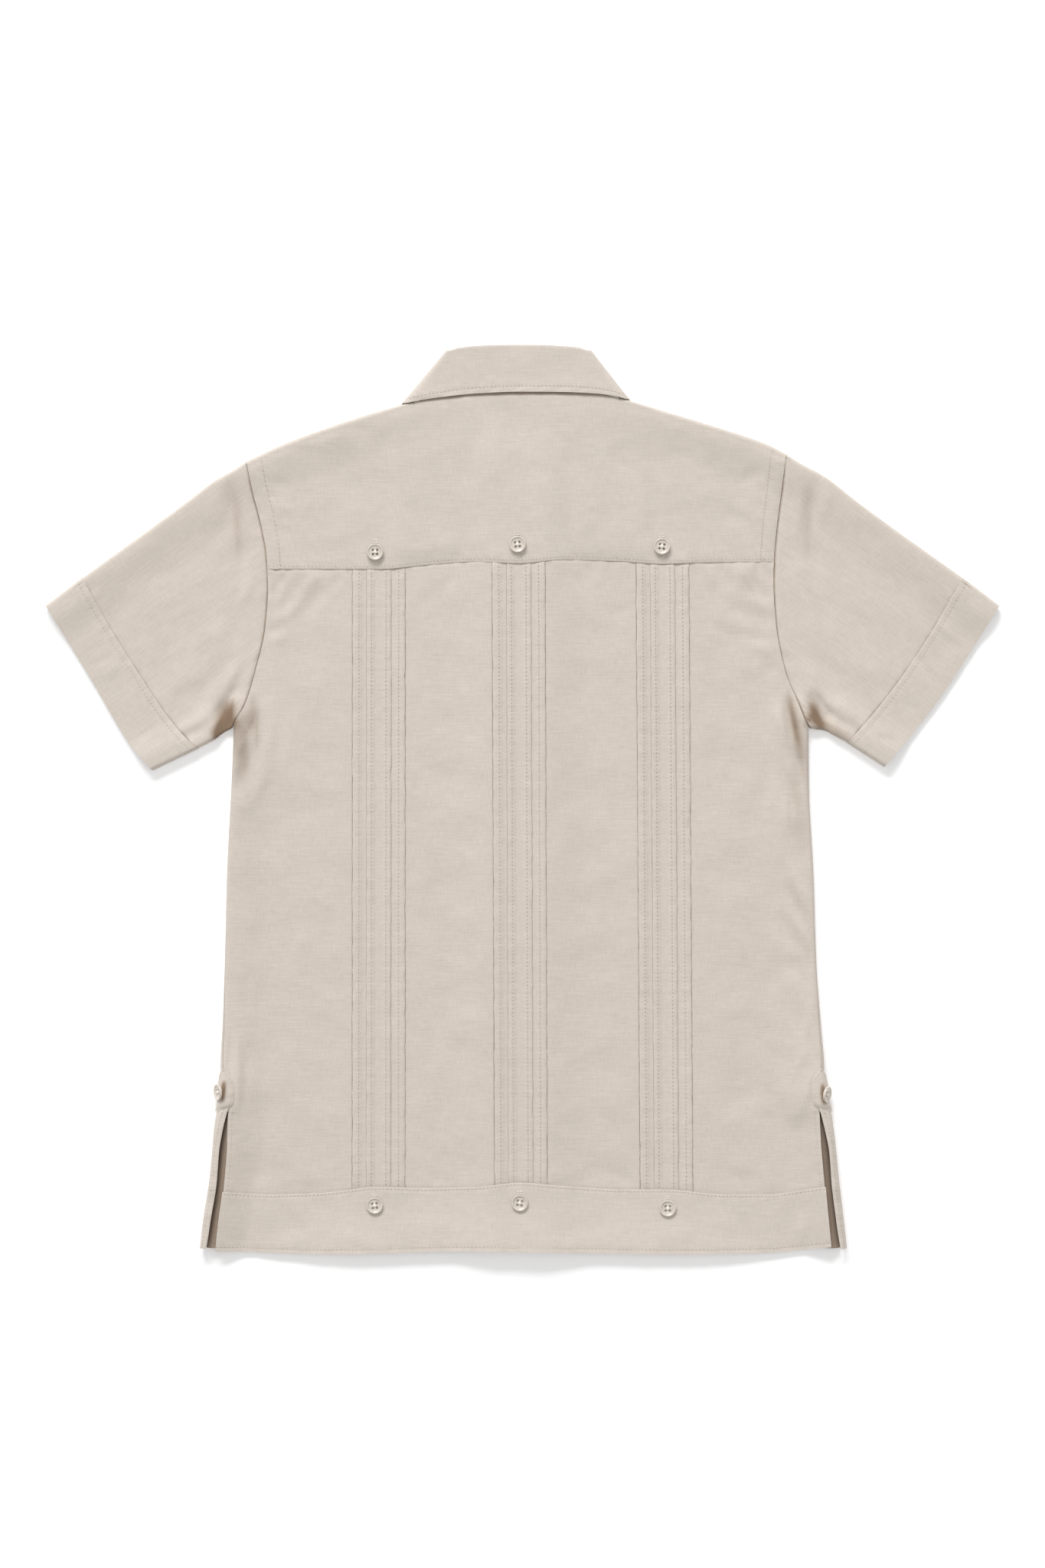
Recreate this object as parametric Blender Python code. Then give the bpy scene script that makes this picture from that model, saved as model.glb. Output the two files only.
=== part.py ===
"""A boy's short-sleeved guayabera, buttoned and laid face down on a flat surface, its back up.

Tables and sizes are in millimetres. X runs across the shirt, +Y towards the collar, +Z up. The
origin is on the surface, under the middle of the shirt's outline. Left and right are as seen
from above, which are the wearer's own left and right too. Each piece of cloth is a middle
surface, worked out in rows and columns, with its wall put on by a Solidify modifier.
"""

import math
from collections import namedtuple

import bmesh
import bpy
import numpy as np
from mathutils import Matrix, Vector

MM = 0.001
WALL = 1.0                      # cloth
CUFF_WALL = 1.4                 # a cuff is two layers of cloth
GAP = 0.3                       # between pieces at a seam and between layers
LAYER = WALL + GAP              # middle of one layer to the middle of the next

FLOOR_CLOTH = WALL / 2          # middle height of the cloth that lies on the surface
TOP_CLOTH = 2.2                 # middle height of the upper cloth where only the front is under it

BUTTON_RADIUS = 5.75
BUTTON_HEIGHT = 2.4
BUTTON_SIDES = 16
HOLE_RADIUS = 0.85
HOLE_OFFSET = 1.35

CENTRE = -2.6                   # the fronts' centre line
OVERLAP = 15.0                  # each front runs this far past the centre line
PLACKET_LIFT = BUTTON_HEIGHT + GAP
PLACKET_FLAT, PLACKET_FADE = 17.0, 34.0
LEAF_REACH, LEAF_TOP, LEAF_FADE = 84.0, 178.0, 14.0   # where the collar's leaf is under the fronts
PLACKET_TOP, NECK_FADE = 246.0, 40.0                  # nothing of the fronts is under the upper cloth above this
YOKE_FRONT = 28.0               # depth of the yoke on the front, below the shoulder fold
LOFT_FADE = 30.0                # how far in from a fold the upper cloth stands proud

Side = namedtuple("Side", "level left right height front_lap back_lap")
SIDES = (
    # The body's side folds: the outermost line at each level, the fold's height, and how far in from
    # that line the front's and the back's edges lie on the upper side.
    Side(46.0, -202.2, 200.2, 7.4, 0.0, 0.0),
    Side(13.0, -203.6, 200.4, 6.6, 0.0, 0.0),
    Side(-51.0, -206.8, 203.6, 6.0, 0.0, 0.0),
    Side(-115.0, -208.4, 205.7, 6.2, 0.4, 0.4),
    Side(-158.0, -210.0, 208.9, 7.4, 1.5, 1.5),
    Side(-187.0, -211.3, 211.1, 9.0, 2.1, 2.1),
    Side(-197.0, -209.6, 210.0, 9.6, 3.0, 3.0),
    Side(-204.0, -209.2, 209.8, 10.0, 5.0, 5.0),
    Side(-210.0, -210.2, 211.2, 10.0, 7.0, 7.2),
    Side(-218.0, -213.8, 215.6, 10.0, 7.8, 8.4),
    Side(-228.0, -215.6, 217.4, 10.0, 7.0, 9.6),
    Side(-246.0, -217.2, 219.5, 10.0, 5.6, 10.6),
    Side(-270.0, -219.7, 221.9, 10.0, 6.1, 10.9),
    Side(-295.0, -223.6, 224.8, 10.0, 5.9, 11.6),
    Side(-313.0, -225.6, 226.8, 9.6, 5.0, 11.9),
)

Armhole = namedtuple("Armhole", "level left right")
ARMHOLES = (
    # The sleeve seams, the same on the upper and the lower cloth.
    Armhole(240.0, -193.6, 184.1),
    Armhole(216.0, -189.1, 181.4),
    Armhole(193.0, -183.2, 178.3),
    Armhole(169.0, -179.0, 176.1),
    Armhole(152.0, -178.2, 175.7),
    Armhole(124.0, -180.0, 177.3),
    Armhole(90.0, -187.5, 183.9),
    Armhole(66.0, -195.0, 193.5),
    Armhole(56.0, -201.0, 197.4),
    Armhole(53.0, -202.0, 199.0),
)
ARMPIT_LEVEL = ARMHOLES[-1].level

Point = namedtuple("Point", "x y height")
SHOULDERS = {
    # The fold from the neck over the shoulder and down the sleeve, and its height.
    "left": (Point(-76.5, 278.6, 5.2), Point(-106.2, 270.2, 5.4), Point(-138.8, 259.5, 5.6),
             Point(-167.2, 248.8, 5.8), Point(-192.9, 236.8, 6.0), Point(-208.4, 227.4, 6.0),
             Point(-236.7, 206.0, 6.0), Point(-308.0, 154.0, 6.2), Point(-333.0, 135.4, 6.4)),
    "right": (Point(68.5, 281.2, 5.2), Point(105.1, 270.2, 5.4), Point(139.9, 259.5, 5.6),
              Point(170.9, 248.8, 5.8), Point(184.0, 242.0, 6.0), Point(208.4, 227.4, 6.0),
              Point(236.2, 206.0, 6.0), Point(308.0, 154.0, 6.2), Point(333.0, 135.4, 6.4)),
}
SHOULDER_TIP = 4                # the entry where the sleeve starts
UNDERARMS = {
    "left": (Point(-202.6, 49.4, 7.4), Point(-214.8, 41.7, 7.0), Point(-226.6, 35.8, 7.0),
             Point(-247.4, 25.1, 7.2), Point(-258.1, 20.0, 7.4)),
    "right": (Point(201.0, 50.2, 7.4), Point(213.0, 46.6, 7.0), Point(226.6, 40.0, 7.0),
              Point(241.0, 30.4, 7.2), Point(252.6, 22.6, 7.4)),
}
CUFF_SEAMS = {
    # From the fold on top of the sleeve to the fold under the arm.
    "left": ((-307.6, 154.4), (-291.3, 124.1), (-268.8, 88.3), (-250.7, 61.0), (-232.5, 40.1), (-226.6, 35.4)),
    "right": ((307.6, 154.4), (284.9, 115.0), (261.9, 80.8), (243.7, 57.8), (230.6, 43.6), (226.6, 39.6)),
}
CUFF_ENDS = {
    "left": ((-333.0, 135.4), (-316.5, 108.8), (-300.4, 82.4), (-274.7, 39.6), (-262.0, 24.4), (-258.1, 20.4)),
    "right": ((333.0, 135.4), (311.1, 100.6), (291.3, 70.6), (268.3, 41.2), (255.6, 26.4), (252.6, 22.8)),
}

YOKE_EDGE = (
    # The yoke's lower edge on the back, with a shallow point over each band of tucks.
    (-178.7, 161.2), (-100.4, 161.3), (-65.5, 164.4), (-33.4, 166.4), (-2.7, 165.2),
    (29.0, 167.8), (66.0, 166.8), (97.9, 165.0), (134.0, 166.0), (176.1, 166.2),
)
HEM_SEAM = (
    # The back hem band's upper edge, with a point at each band of tucks.
    (-208.8, -273.4), (-178.0, -275.7), (-140.0, -274.5), (-100.6, -270.2), (-65.5, -271.2),
    (-33.4, -270.2), (-1.1, -267.0), (30.0, -269.7), (70.0, -272.1), (100.7, -272.1),
    (140.0, -275.6), (170.0, -275.7), (210.0, -269.9),
)
HEM_EDGE = (
    (-213.7, -315.1), (-135.1, -317.3), (-33.4, -315.1), (41.5, -316.2), (105.7, -317.3),
    (169.9, -316.5), (214.3, -312.2),
)
FRONT_HEM_SEAM = -270.0
FRONT_HEM_EDGE = -313.0

Band = namedtuple("Band", "top bottom")
TUCK_BANDS = (Band(-100.4, -100.6), Band(-2.7, -1.1), Band(97.9, 100.7))
Tuck = namedtuple("Tuck", "fold stitch")
TUCKS = (Tuck(18.5, 13.9), Tuck(9.5, 5.3))      # out from the band's middle, on both sides of it
TUCK_DROP = 2.8                 # the upper layer comes down over this width past its stitching

Plain = namedtuple("Plain", "top bottom")
SIDE_LIMITS = {"left": Plain(-150.0, -178.0), "right": Plain(148.0, 170.0)}
PLAIN_COLUMNS = (
    # Columns of the back between and beside the tucks.
    Plain(-132.0, -140.0), Plain(-65.5, -65.5), Plain(-33.4, -33.4), Plain(29.0, 30.0),
    Plain(66.0, 70.0), Plain(134.0, 140.0),
)

Hollow = namedtuple("Hollow", "x y angle length width depth")
HOLLOWS = (
    # The folds pressed in about the armpits: place, direction of the long way, half sizes and depth.
    Hollow(-207.6, 52.6, 80.0, 16.0, 9.0, 3.2),
    Hollow(-190.5, 38.0, 96.0, 34.0, 8.0, 1.8),
    Hollow(209.6, 56.0, 115.0, 15.0, 8.0, 2.8),
    Hollow(189.4, 40.0, 98.0, 36.0, 7.0, 1.8),
)

COLLAR_TOP_AXIS, COLLAR_BASE_AXIS = -2.5, -4.7          # the collar leans a little to the left
COLLAR_TOP, COLLAR_BASE = 316.0, 278.0
Station = namedtuple("Station", "top_x top_y outer_x outer_y")
COLLAR_BACK = (
    # The stand's top edge and the leaf's free edge, out from the collar's middle line, from the middle
    # of the back to where the cloth starts to turn round the shoulder. There the free edge follows the
    # shoulder's own fold, so its level isn't in the table.
    Station(0.0, 316.4, 0.0, 285.8),
    Station(16.0, 316.3, 17.0, 285.6),
    Station(27.0, 315.8, 30.0, 285.2),
    Station(43.0, 314.4, 55.0, 282.9),
    Station(49.6, 312.8, 72.8, None),
)
COLLAR_FRONT = (
    # The same on the underside, from the end of that turn to the middle of the front.
    Station(49.6, 310.4, 79.8, None),
    Station(49.0, 294.0, 78.0, 243.0),
    Station(45.0, 273.0, 73.0, 221.0),
    Station(36.0, 254.0, 66.0, 203.0),
    Station(25.0, 241.0, 58.0, 190.0),
    Station(14.0, 233.6, 50.0, 181.0),
    Station(6.8, 231.0, 42.0, 186.0),
)
COLLAR_TURNS = (45.0, 0.0, -45.0)
COLLAR_EDGE_X = (76.6, 79.0, 79.8)      # the leaf's free edge at those turns, out from the middle line
LEAF_SEAM = 0.45                        # the leaf starts this far past the stand's top edge
SLANT = (0.8, 0.6)                      # straight out from the collar's sloping side
COLLAR_BACK_Z = 3.7                     # middle height of the stand's back
NECK_DIP, NECK_HALF = 252.0, 70.0       # the front's neck seam is an ellipse about this level
NECK_DEPTH = 46.0
STAND_LAP = 11.0                # the stand's ends run past the centre line

YOKE_BUTTONS = ((-103.0, 173.3), (-3.5, 178.5), (97.4, 177.2))
HEM_BUTTONS = ((-103.3, -283.3), (-1.9, -281.1), (101.5, -285.2))
VENT_BUTTONS = {"left": -203.4, "right": -204.3}
VENT_BUTTON_RISE = 27.0         # degrees that a vent button faces above the horizontal
FRONT_BUTTONS = (160.0, 95.0, 30.0, -35.0, -100.0, -165.0)
COLLAR_BUTTON = 218.0

Patch = namedtuple("Patch", "level half_width")
VENT_PATCH = (
    Patch(-187.2, 0.8), Patch(-191.5, 4.6), Patch(-197.0, 8.6), Patch(-204.0, 8.8),
    Patch(-210.0, 8.8), Patch(-217.4, 8.4),
)

CLOTH_COLOUR = (0.646, 0.584, 0.513)
BUTTON_COLOUR = (0.60, 0.52, 0.44)


def smooth(t):
    """0 below 0, 1 above 1 and an even rise between."""
    t = np.clip(t, 0.0, 1.0)
    return t * t * (3.0 - 2.0 * t)


def sign(side):
    return -1.0 if side == "left" else 1.0


def at_level(rows, column, level):
    """A column of a table whose levels run downwards, read at any level."""
    levels = [-row.level for row in rows]
    return float(np.interp(-level, levels, [getattr(row, column) for row in rows]))


def along(pairs, x):
    """The y of an edge given as (x, y) points from left to right."""
    return float(np.interp(x, [pair[0] for pair in pairs], [pair[1] for pair in pairs]))


# Heights of the layers


def placket(x):
    return float(1.0 - smooth((abs(x - CENTRE) - PLACKET_FLAT) / PLACKET_FADE))


def over_leaf(x, y):
    """1 where the collar's leaf lies under the fronts, falling to 0 round about."""
    across = 1.0 - smooth((abs(x - CENTRE) - LEAF_REACH) / LEAF_FADE)
    return float(across * smooth((y - LEAF_TOP + LEAF_FADE) / LEAF_FADE))


def left_front_z(x, y):
    return FLOOR_CLOTH + max(PLACKET_LIFT * placket(x), LAYER * over_leaf(x, y))


def right_front_z(x, y):
    return FLOOR_CLOTH + max((PLACKET_LIFT + LAYER) * placket(x), LAYER * over_leaf(x, y))


FRONT_Z = {"left": left_front_z, "right": right_front_z}


def fold_line(side, name):
    """A fold as (x, y, height) rows from one of the tables."""
    if name == "body":
        return [(getattr(row, side), row.level, row.height) for row in SIDES]
    table = SHOULDERS if name == "shoulder" else UNDERARMS
    return [tuple(point) for point in table[side]]


FOLD_LINES = [fold_line(side, name) for side in ("left", "right") for name in ("shoulder", "underarm", "body")]


def nearest_on(line, x, y):
    """Distance from a fold line, and the fold's height at the nearest point."""
    best, height = 1e9, 0.0
    for (ax, ay, ah), (bx, by, bh) in zip(line, line[1:]):
        dx, dy = bx - ax, by - ay
        t = min(1.0, max(0.0, ((x - ax) * dx + (y - ay) * dy) / (dx * dx + dy * dy)))
        distance = math.hypot(x - ax - t * dx, y - ay - t * dy)
        if distance < best:
            best, height = distance, ah + t * (bh - ah)
    return best, height


def tuck_relief(x, y):
    """Lift of the yoke and the hem band where they meet the ends of the tucks."""
    lift = 0.0
    for band in TUCK_BANDS:
        middle = band.top if y > 0 else band.bottom
        away = y - along(YOKE_EDGE, x) if y > 0 else along(HEM_SEAM, x) - y
        lift += LAYER * (1.0 - smooth((abs(x - middle) - 14.0) / 12.0)) * (1.0 - smooth(away / 22.0))
    return float(lift)


def hollow_depth(x, y):
    depth = 0.0
    for hollow in HOLLOWS:
        turn = math.radians(hollow.angle)
        dx, dy = x - hollow.x, y - hollow.y
        along_it = (dx * math.cos(turn) + dy * math.sin(turn)) / hollow.length
        across_it = (-dx * math.sin(turn) + dy * math.cos(turn)) / hollow.width
        depth += hollow.depth * float(1.0 - smooth(math.hypot(along_it, across_it)))
    return depth


def top_z(x, y):
    """Middle height of the uppermost cloth: it lies on the fronts and stands proud along the folds."""
    opening = float(smooth((y - PLACKET_TOP) / NECK_FADE))
    under = (PLACKET_LIFT + LAYER - 0.4) * placket(x) * (1.0 - opening)
    lowest = TOP_CLOTH + max(under, LAYER * over_leaf(x, y))
    loft = 0.0
    for line in FOLD_LINES:
        distance, height = nearest_on(line, x, y)
        rise = height - WALL / 2 - TOP_CLOTH
        loft = max(loft, rise * float(1.0 - smooth((distance - height / 2) / LOFT_FADE)))
    return max(lowest, TOP_CLOTH + loft - hollow_depth(x, y), lowest + loft * 0.5 - hollow_depth(x, y))


def roll_point(side, level, lap):
    """Middle of the wall on the upper half of a side fold, lap in from its outermost line."""
    outermost = at_level(SIDES, side, level)
    outer_radius = at_level(SIDES, "height", level) / 2
    if lap >= outer_radius:
        x = outermost - sign(side) * lap
        return x, top_z(x, level)
    angle = math.acos(1.0 - lap / outer_radius)
    middle_radius = outer_radius - WALL / 2
    x = outermost - sign(side) * (outer_radius - middle_radius * math.cos(angle))
    return x, outer_radius + middle_radius * math.sin(angle)


# Mesh making


def material(name, colour, roughness):
    made = bpy.data.materials.new(name)
    made.use_nodes = True
    shader = made.node_tree.nodes["Principled BSDF"]
    shader.inputs["Base Color"].default_value = (*colour, 1.0)
    shader.inputs["Roughness"].default_value = roughness
    shader.inputs["Metallic"].default_value = 0.0
    return made


def cloth(name, patches, wall=WALL):
    """One piece of cloth from (rows, ring) patches of middle points; patches meet where points agree."""
    mesh = bmesh.new()
    for rows, ring in patches:
        grid = [[mesh.verts.new([value * MM for value in point]) for point in row] for row in rows]
        for upper, lower in zip(grid, grid[1:]):
            columns = len(upper)
            for k in range(columns if ring else columns - 1):
                after = (k + 1) % columns
                mesh.faces.new((upper[k], lower[k], lower[after], upper[after]))
    bmesh.ops.remove_doubles(mesh, verts=mesh.verts[:], dist=0.02 * MM)
    bmesh.ops.recalc_face_normals(mesh, faces=mesh.faces[:])
    return finished(name, mesh, wall)


def finished(name, mesh, wall):
    data = bpy.data.meshes.new(name)
    mesh.to_mesh(data)
    mesh.free()
    data.materials.append(CLOTH)
    data.shade_smooth()
    piece = bpy.data.objects.new(name, data)
    bpy.context.collection.objects.link(piece)
    thickness = piece.modifiers.new("Wall", "SOLIDIFY")
    thickness.thickness = wall * MM
    thickness.offset = 0.0
    thickness.use_even_offset = True
    thickness.use_quality_normals = True
    return piece


# Back, with its tucks


def tuck_section(fold, stitch, base):
    """(x, z) points of one tuck, from the cloth outside it to the cloth inside it."""
    inward = math.copysign(1.0, stitch - fold)
    crease = fold + inward * WALL / 2
    over = stitch + inward * 0.8
    return [
        (stitch, base), (stitch, base + LAYER), (crease, base + LAYER), (crease, base + 2 * LAYER),
        (over, base + 2 * LAYER), (over + inward * TUCK_DROP, base),
    ]


def band_columns(band, v, z_at):
    """(x, z) points across one band of four tucks; v runs from 0 at the yoke to 1 at the hem."""
    middle = band.top + (band.bottom - band.top) * v
    points = []
    for tuck in TUCKS:
        points += tuck_section(middle - tuck.fold, middle - tuck.stitch, z_at(middle - tuck.stitch))
    points.append((middle, z_at(middle)))
    for tuck in reversed(TUCKS):
        section = tuck_section(middle + tuck.fold, middle + tuck.stitch, z_at(middle + tuck.stitch))
        points += section[::-1]
    return points


def plain_x(column, v):
    return column.top + (column.bottom - column.top) * v


def back_level(x, v, level):
    """Rows are level in the middle of the back and follow the slant of the seams at its ends."""
    top, bottom = along(YOKE_EDGE, x) - GAP / 2, along(HEM_SEAM, x) + GAP / 2
    return level + (top - BACK_TOP) * (1.0 - v) ** 6 + (bottom - BACK_BOTTOM) * v ** 12


BACK_TOP, BACK_BOTTOM = 165.0, -271.0
BACK_LEVELS = [BACK_TOP] + [row.level for row in ARMHOLES if row.level < 160.0]
BACK_LEVELS += [row.level for row in SIDES if row.level > BACK_BOTTOM + 5.0] + [BACK_BOTTOM]
COARSE_LEVELS = (BACK_TOP, 124.0, 13.0, -115.0, -228.0, BACK_BOTTOM)
SIDE_STEPS = 7


def share_of_back(level):
    return (BACK_TOP - level) / (BACK_TOP - BACK_BOTTOM)


def side_row(side, level, v):
    """Points of the back from its side limit out to its edge."""
    start = plain_x(SIDE_LIMITS[side], v)
    out = sign(side)
    shares = [1.0 - (1.0 - k / SIDE_STEPS) ** 2 for k in range(SIDE_STEPS + 1)]
    if level > ARMPIT_LEVEL - 0.5:
        ends = [along(YOKE_EDGE, -200.0 * -out)] if v == 0 else [level]
        edge = at_level(ARMHOLES, side, ends[0]) - out * 0.25
        xs = [start + (edge - start) * share for share in shares]
        return [(x, back_level(x, v, level), top_z(x, level)) for x in xs]
    outermost = at_level(SIDES, side, level)
    lap = at_level(SIDES, "back_lap", level) + GAP / 2
    reach = abs(outermost - start)
    points = []
    for share in shares:
        x, z = roll_point(side, level, reach + (lap - reach) * share)
        points.append((x, back_level(x, v, level), z))
    return points


def build_back():
    fine = {side: [] for side in SIDE_LIMITS}
    for level in BACK_LEVELS:
        for side in fine:
            fine[side].append(side_row(side, level, share_of_back(level)))
    patches = [(fine["left"], False), (fine["right"], False)]

    coarse = []
    for level in COARSE_LEVELS:
        v = share_of_back(level)
        z_at = lambda x: top_z(x, level)
        plain = [(plain_x(column, v), z_at(plain_x(column, v))) for column in PLAIN_COLUMNS]
        bands = [band_columns(band, v, z_at) for band in TUCK_BANDS]
        across = plain[:1] + bands[0] + plain[1:3] + bands[1] + plain[3:5] + bands[2] + plain[5:]
        coarse.append([(x, back_level(x, v, level), z) for x, z in across])
    patches.append((coarse, False))
    mesh_patches(patches, fine, coarse)


def mesh_patches(patches, fine, coarse):
    """The fine sides and the coarse middle of the back, joined by faces with the side's extra corners."""
    mesh = bmesh.new()
    grids = []
    for rows, _ in patches:
        grids.append([[mesh.verts.new([value * MM for value in point]) for point in row] for row in rows])
        for upper, lower in zip(grids[-1], grids[-1][1:]):
            for k in range(len(upper) - 1):
                mesh.faces.new((upper[k], lower[k], lower[k + 1], upper[k + 1]))
    middle = grids[2]
    for grid, edge in ((grids[0], 0), (grids[1], -1)):
        for row in range(len(COARSE_LEVELS) - 1):
            first = BACK_LEVELS.index(COARSE_LEVELS[row])
            last = BACK_LEVELS.index(COARSE_LEVELS[row + 1])
            side = [grid[k][0] for k in range(first, last + 1)]
            mesh.faces.new([middle[row][edge]] + side + [middle[row + 1][edge]])
    bmesh.ops.recalc_face_normals(mesh, faces=mesh.faces[:])
    return finished("back", mesh, WALL)


def build_hem_back():
    columns = {side: side_row(side, BACK_BOTTOM, 1.0) for side in SIDE_LIMITS}
    inner = [plain_x(column, 1.0) for column in PLAIN_COLUMNS]
    for band in TUCK_BANDS:
        inner += [band.bottom - 20.0, band.bottom, band.bottom + 20.0]
    rows = []
    for share in (0.0, 0.2, 0.55, 1.0):
        row = []
        for side in ("left", "right"):
            points = []
            for x, _, _ in columns[side][::-1]:
                top, bottom = along(HEM_SEAM, x) - GAP / 2, along(HEM_EDGE, x)
                level = top + (bottom - top) * share
                lap = abs(at_level(SIDES, side, BACK_BOTTOM) - x)
                spread = at_level(SIDES, "back_lap", level) - at_level(SIDES, "back_lap", BACK_BOTTOM)
                near = float(1.0 - smooth((lap - 10.0) / 30.0))
                x_here, z = roll_point(side, level, lap + spread * near)
                points.append((x_here, level, z))
            if side == "left":
                row += points
                for x in sorted(inner):
                    top, bottom = along(HEM_SEAM, x) - GAP / 2, along(HEM_EDGE, x)
                    level = top + (bottom - top) * share
                    row.append((x, level, top_z(x, level) + tuck_relief(x, level)))
            else:
                row += points[::-1]
        rows.append(row)
    cloth("hem_back", [(rows, False)])


# Yoke


def shoulder_frame(side, share):
    """A point on the shoulder fold, from 0 at the armhole to 1 at the neck, and the fold's height."""
    fold = [tuple(point) for point in SHOULDERS[side][:SHOULDER_TIP + 1]][::-1]
    xs = [abs(point[0]) for point in fold]
    x = xs[0] + (xs[-1] - xs[0]) * share
    order = np.argsort(xs)
    y = np.interp(x, np.array(xs)[order], np.array([point[1] for point in fold])[order])
    height = np.interp(x, np.array(xs)[order], np.array([point[2] for point in fold])[order])
    return sign(side) * x, float(y), float(height)


SHOULDER_SHARES = (0.0, 0.2, 0.4, 0.6, 0.8, 0.9, 1.0)
SHOULDER_LEAN = 0.2             # at the neck the columns run in by this much for each unit down
ARC_STEPS = 4
YOKE_LEVELS = (169.0, 193.0, 204.5, 216.0)
YOKE_TOP_ROWS = len(YOKE_LEVELS) + 2
YOKE_ENDS = {"left": Vector(YOKE_EDGE[0]), "right": Vector(YOKE_EDGE[-1])}
YOKE_MIDDLE = 74.0              # how far out the neck's columns of the yoke stand on its lower edge


def armhole_start(side):
    """Where the sleeve seam starts on the flat cloth, below the shoulder fold."""
    x, y, height = shoulder_frame(side, 0.0)
    level = y - height / 2
    return Vector((at_level(ARMHOLES, side, level), level))


def shoulder_fold(side, share):
    """The shoulder fold's section: middle of its arc in plan, the way down the cloth, top and bottom heights."""
    inward = -sign(side)
    x, y, height = shoulder_frame(side, share)
    start = armhole_start(side)
    below = start.y - 8.0
    along_armhole = (Vector((at_level(ARMHOLES, side, below), below)) - start).normalized()
    down = along_armhole.lerp(Vector((inward * SHOULDER_LEAN, -1.0)).normalized(), share).normalized()
    top = height - WALL / 2
    bottom = FRONT_Z[side](x, y)
    middle = Vector((x, y)) + down * ((top - bottom) / 2 + WALL / 2)
    if share == 0.0:
        middle = start + Vector((inward * 0.25, 0.0))
    return middle, down, top, bottom


def yoke_column(side, share):
    """Points of one yoke column, from the lower edge over the shoulder to the front seam."""
    inward = -sign(side)
    middle, down, top, bottom = shoulder_fold(side, share)
    end = YOKE_ENDS[side]
    foot_x = end.x + (-inward * YOKE_MIDDLE - end.x) * share
    foot = Vector((foot_x, along(YOKE_EDGE, foot_x) + GAP / 2))
    points = []
    for level in (end.y,) + YOKE_LEVELS:
        drop = (level - end.y) / (armhole_start(side).y - end.y)
        chord = end.lerp(armhole_start(side), drop)
        bow = at_level(ARMHOLES, side, level) + inward * 0.25 - chord.x
        here = foot.lerp(middle, drop) + Vector((bow * (1.0 - share), 0.0))
        points.append((here.x, here.y, top_z(here.x, here.y) + tuck_relief(here.x, here.y)))
    radius = (top - bottom) / 2
    for k in range(ARC_STEPS + 1):
        turn = math.radians(90.0 - 180.0 * k / ARC_STEPS)
        here = middle - down * (radius * math.cos(turn))
        points.append((here.x, here.y, bottom + radius + radius * math.sin(turn)))
    for depth in (0.5, 1.0):
        here = middle + down * (YOKE_FRONT * depth)
        if share == 0.0:
            here.x = at_level(ARMHOLES, side, here.y) + inward * 0.25
        points.append((here.x, here.y, FRONT_Z[side](here.x, here.y)))
    return points


NECK_COLUMNS = {
    # From the centre out: where each column meets the neck seam and where it stands on the lower edge.
    "left": (Plain(-19.6, -19.6), Plain(-30.2, -33.4), Plain(-58.0, -65.5)),
    "right": (Plain(14.4, 14.4), Plain(25.0, 29.0), Plain(52.0, 66.0)),
}


def neck_y(x):
    """The neck seam on the back."""
    return float(np.interp(abs(x + 4.0), (0.0, 16.0, 33.0, 55.0, 74.0), (289.0, 288.8, 287.8, 284.4, 277.5)))


def build_yoke():
    left = [yoke_column("left", share) for share in SHOULDER_SHARES]
    right = [yoke_column("right", share) for share in SHOULDER_SHARES][::-1]
    neck = [left[-1][:YOKE_TOP_ROWS]]
    for place in NECK_COLUMNS["left"][::-1] + (Plain(CENTRE, CENTRE),) + NECK_COLUMNS["right"]:
        foot, head = along(YOKE_EDGE, place.bottom) + GAP / 2, neck_y(place.top) - GAP / 2
        column = []
        for row in range(YOKE_TOP_ROWS):
            near_left = left[-1][row][1]
            share = (near_left - left[-1][0][1]) / (left[-1][YOKE_TOP_ROWS - 1][1] - left[-1][0][1])
            x, y = place.bottom + (place.top - place.bottom) * share, foot + (head - foot) * share
            column.append((x, y, top_z(x, y) + tuck_relief(x, y)))
        neck.append(column)
    neck.append(right[0][:YOKE_TOP_ROWS])
    cloth("yoke", [(left, False), (neck, False), (right, False)])


# Fronts


FRONT_TOP = NECK_DIP - NECK_DEPTH
FRONT_LEVELS = [FRONT_TOP] + [row.level for row in ARMHOLES if row.level < 200.0]
FRONT_LEVELS += [row.level for row in SIDES if row.level > FRONT_HEM_SEAM] + [FRONT_HEM_SEAM]
FRONT_ACROSS = (-OVERLAP, 0.0, PLACKET_FLAT, 34.0, 51.0, 68.0, 86.0, 110.0, 150.0)
NECK_CORNER = 5                 # the column that ends at the corner of the neck and the shoulder seam
ROLL_STEPS = 6


def front_columns(side):
    """How far the front's columns stand from the centre line."""
    corner = abs(yoke_column(side, 1.0)[-1][0] - CENTRE)
    return FRONT_ACROSS[:NECK_CORNER] + (corner,) + FRONT_ACROSS[NECK_CORNER + 1:]


def neck_seam_y(side, from_centre):
    """The neck seam on a front, straight between its columns."""
    corner = yoke_column(side, 1.0)[-1]
    columns = front_columns(side)[1:NECK_CORNER + 1]
    levels = [NECK_DIP - NECK_DEPTH * math.sqrt(1.0 - (x / NECK_HALF) ** 2) for x in columns[:-1]]
    return float(np.interp(from_centre, columns, levels + [corner[1]]))


def front_top(side, x):
    """The neck seam and then the shoulder seam, at the top of a front."""
    from_centre = (x - CENTRE) * sign(side)
    ends = [yoke_column(side, share)[-1] for share in SHOULDER_SHARES[::-1]]
    if from_centre <= abs(ends[0][0] - CENTRE) + 0.01:
        return neck_seam_y(side, max(from_centre, 0.0))
    return float(np.interp(from_centre, [abs(end[0] - CENTRE) for end in ends], [end[1] for end in ends])) - GAP


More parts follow.
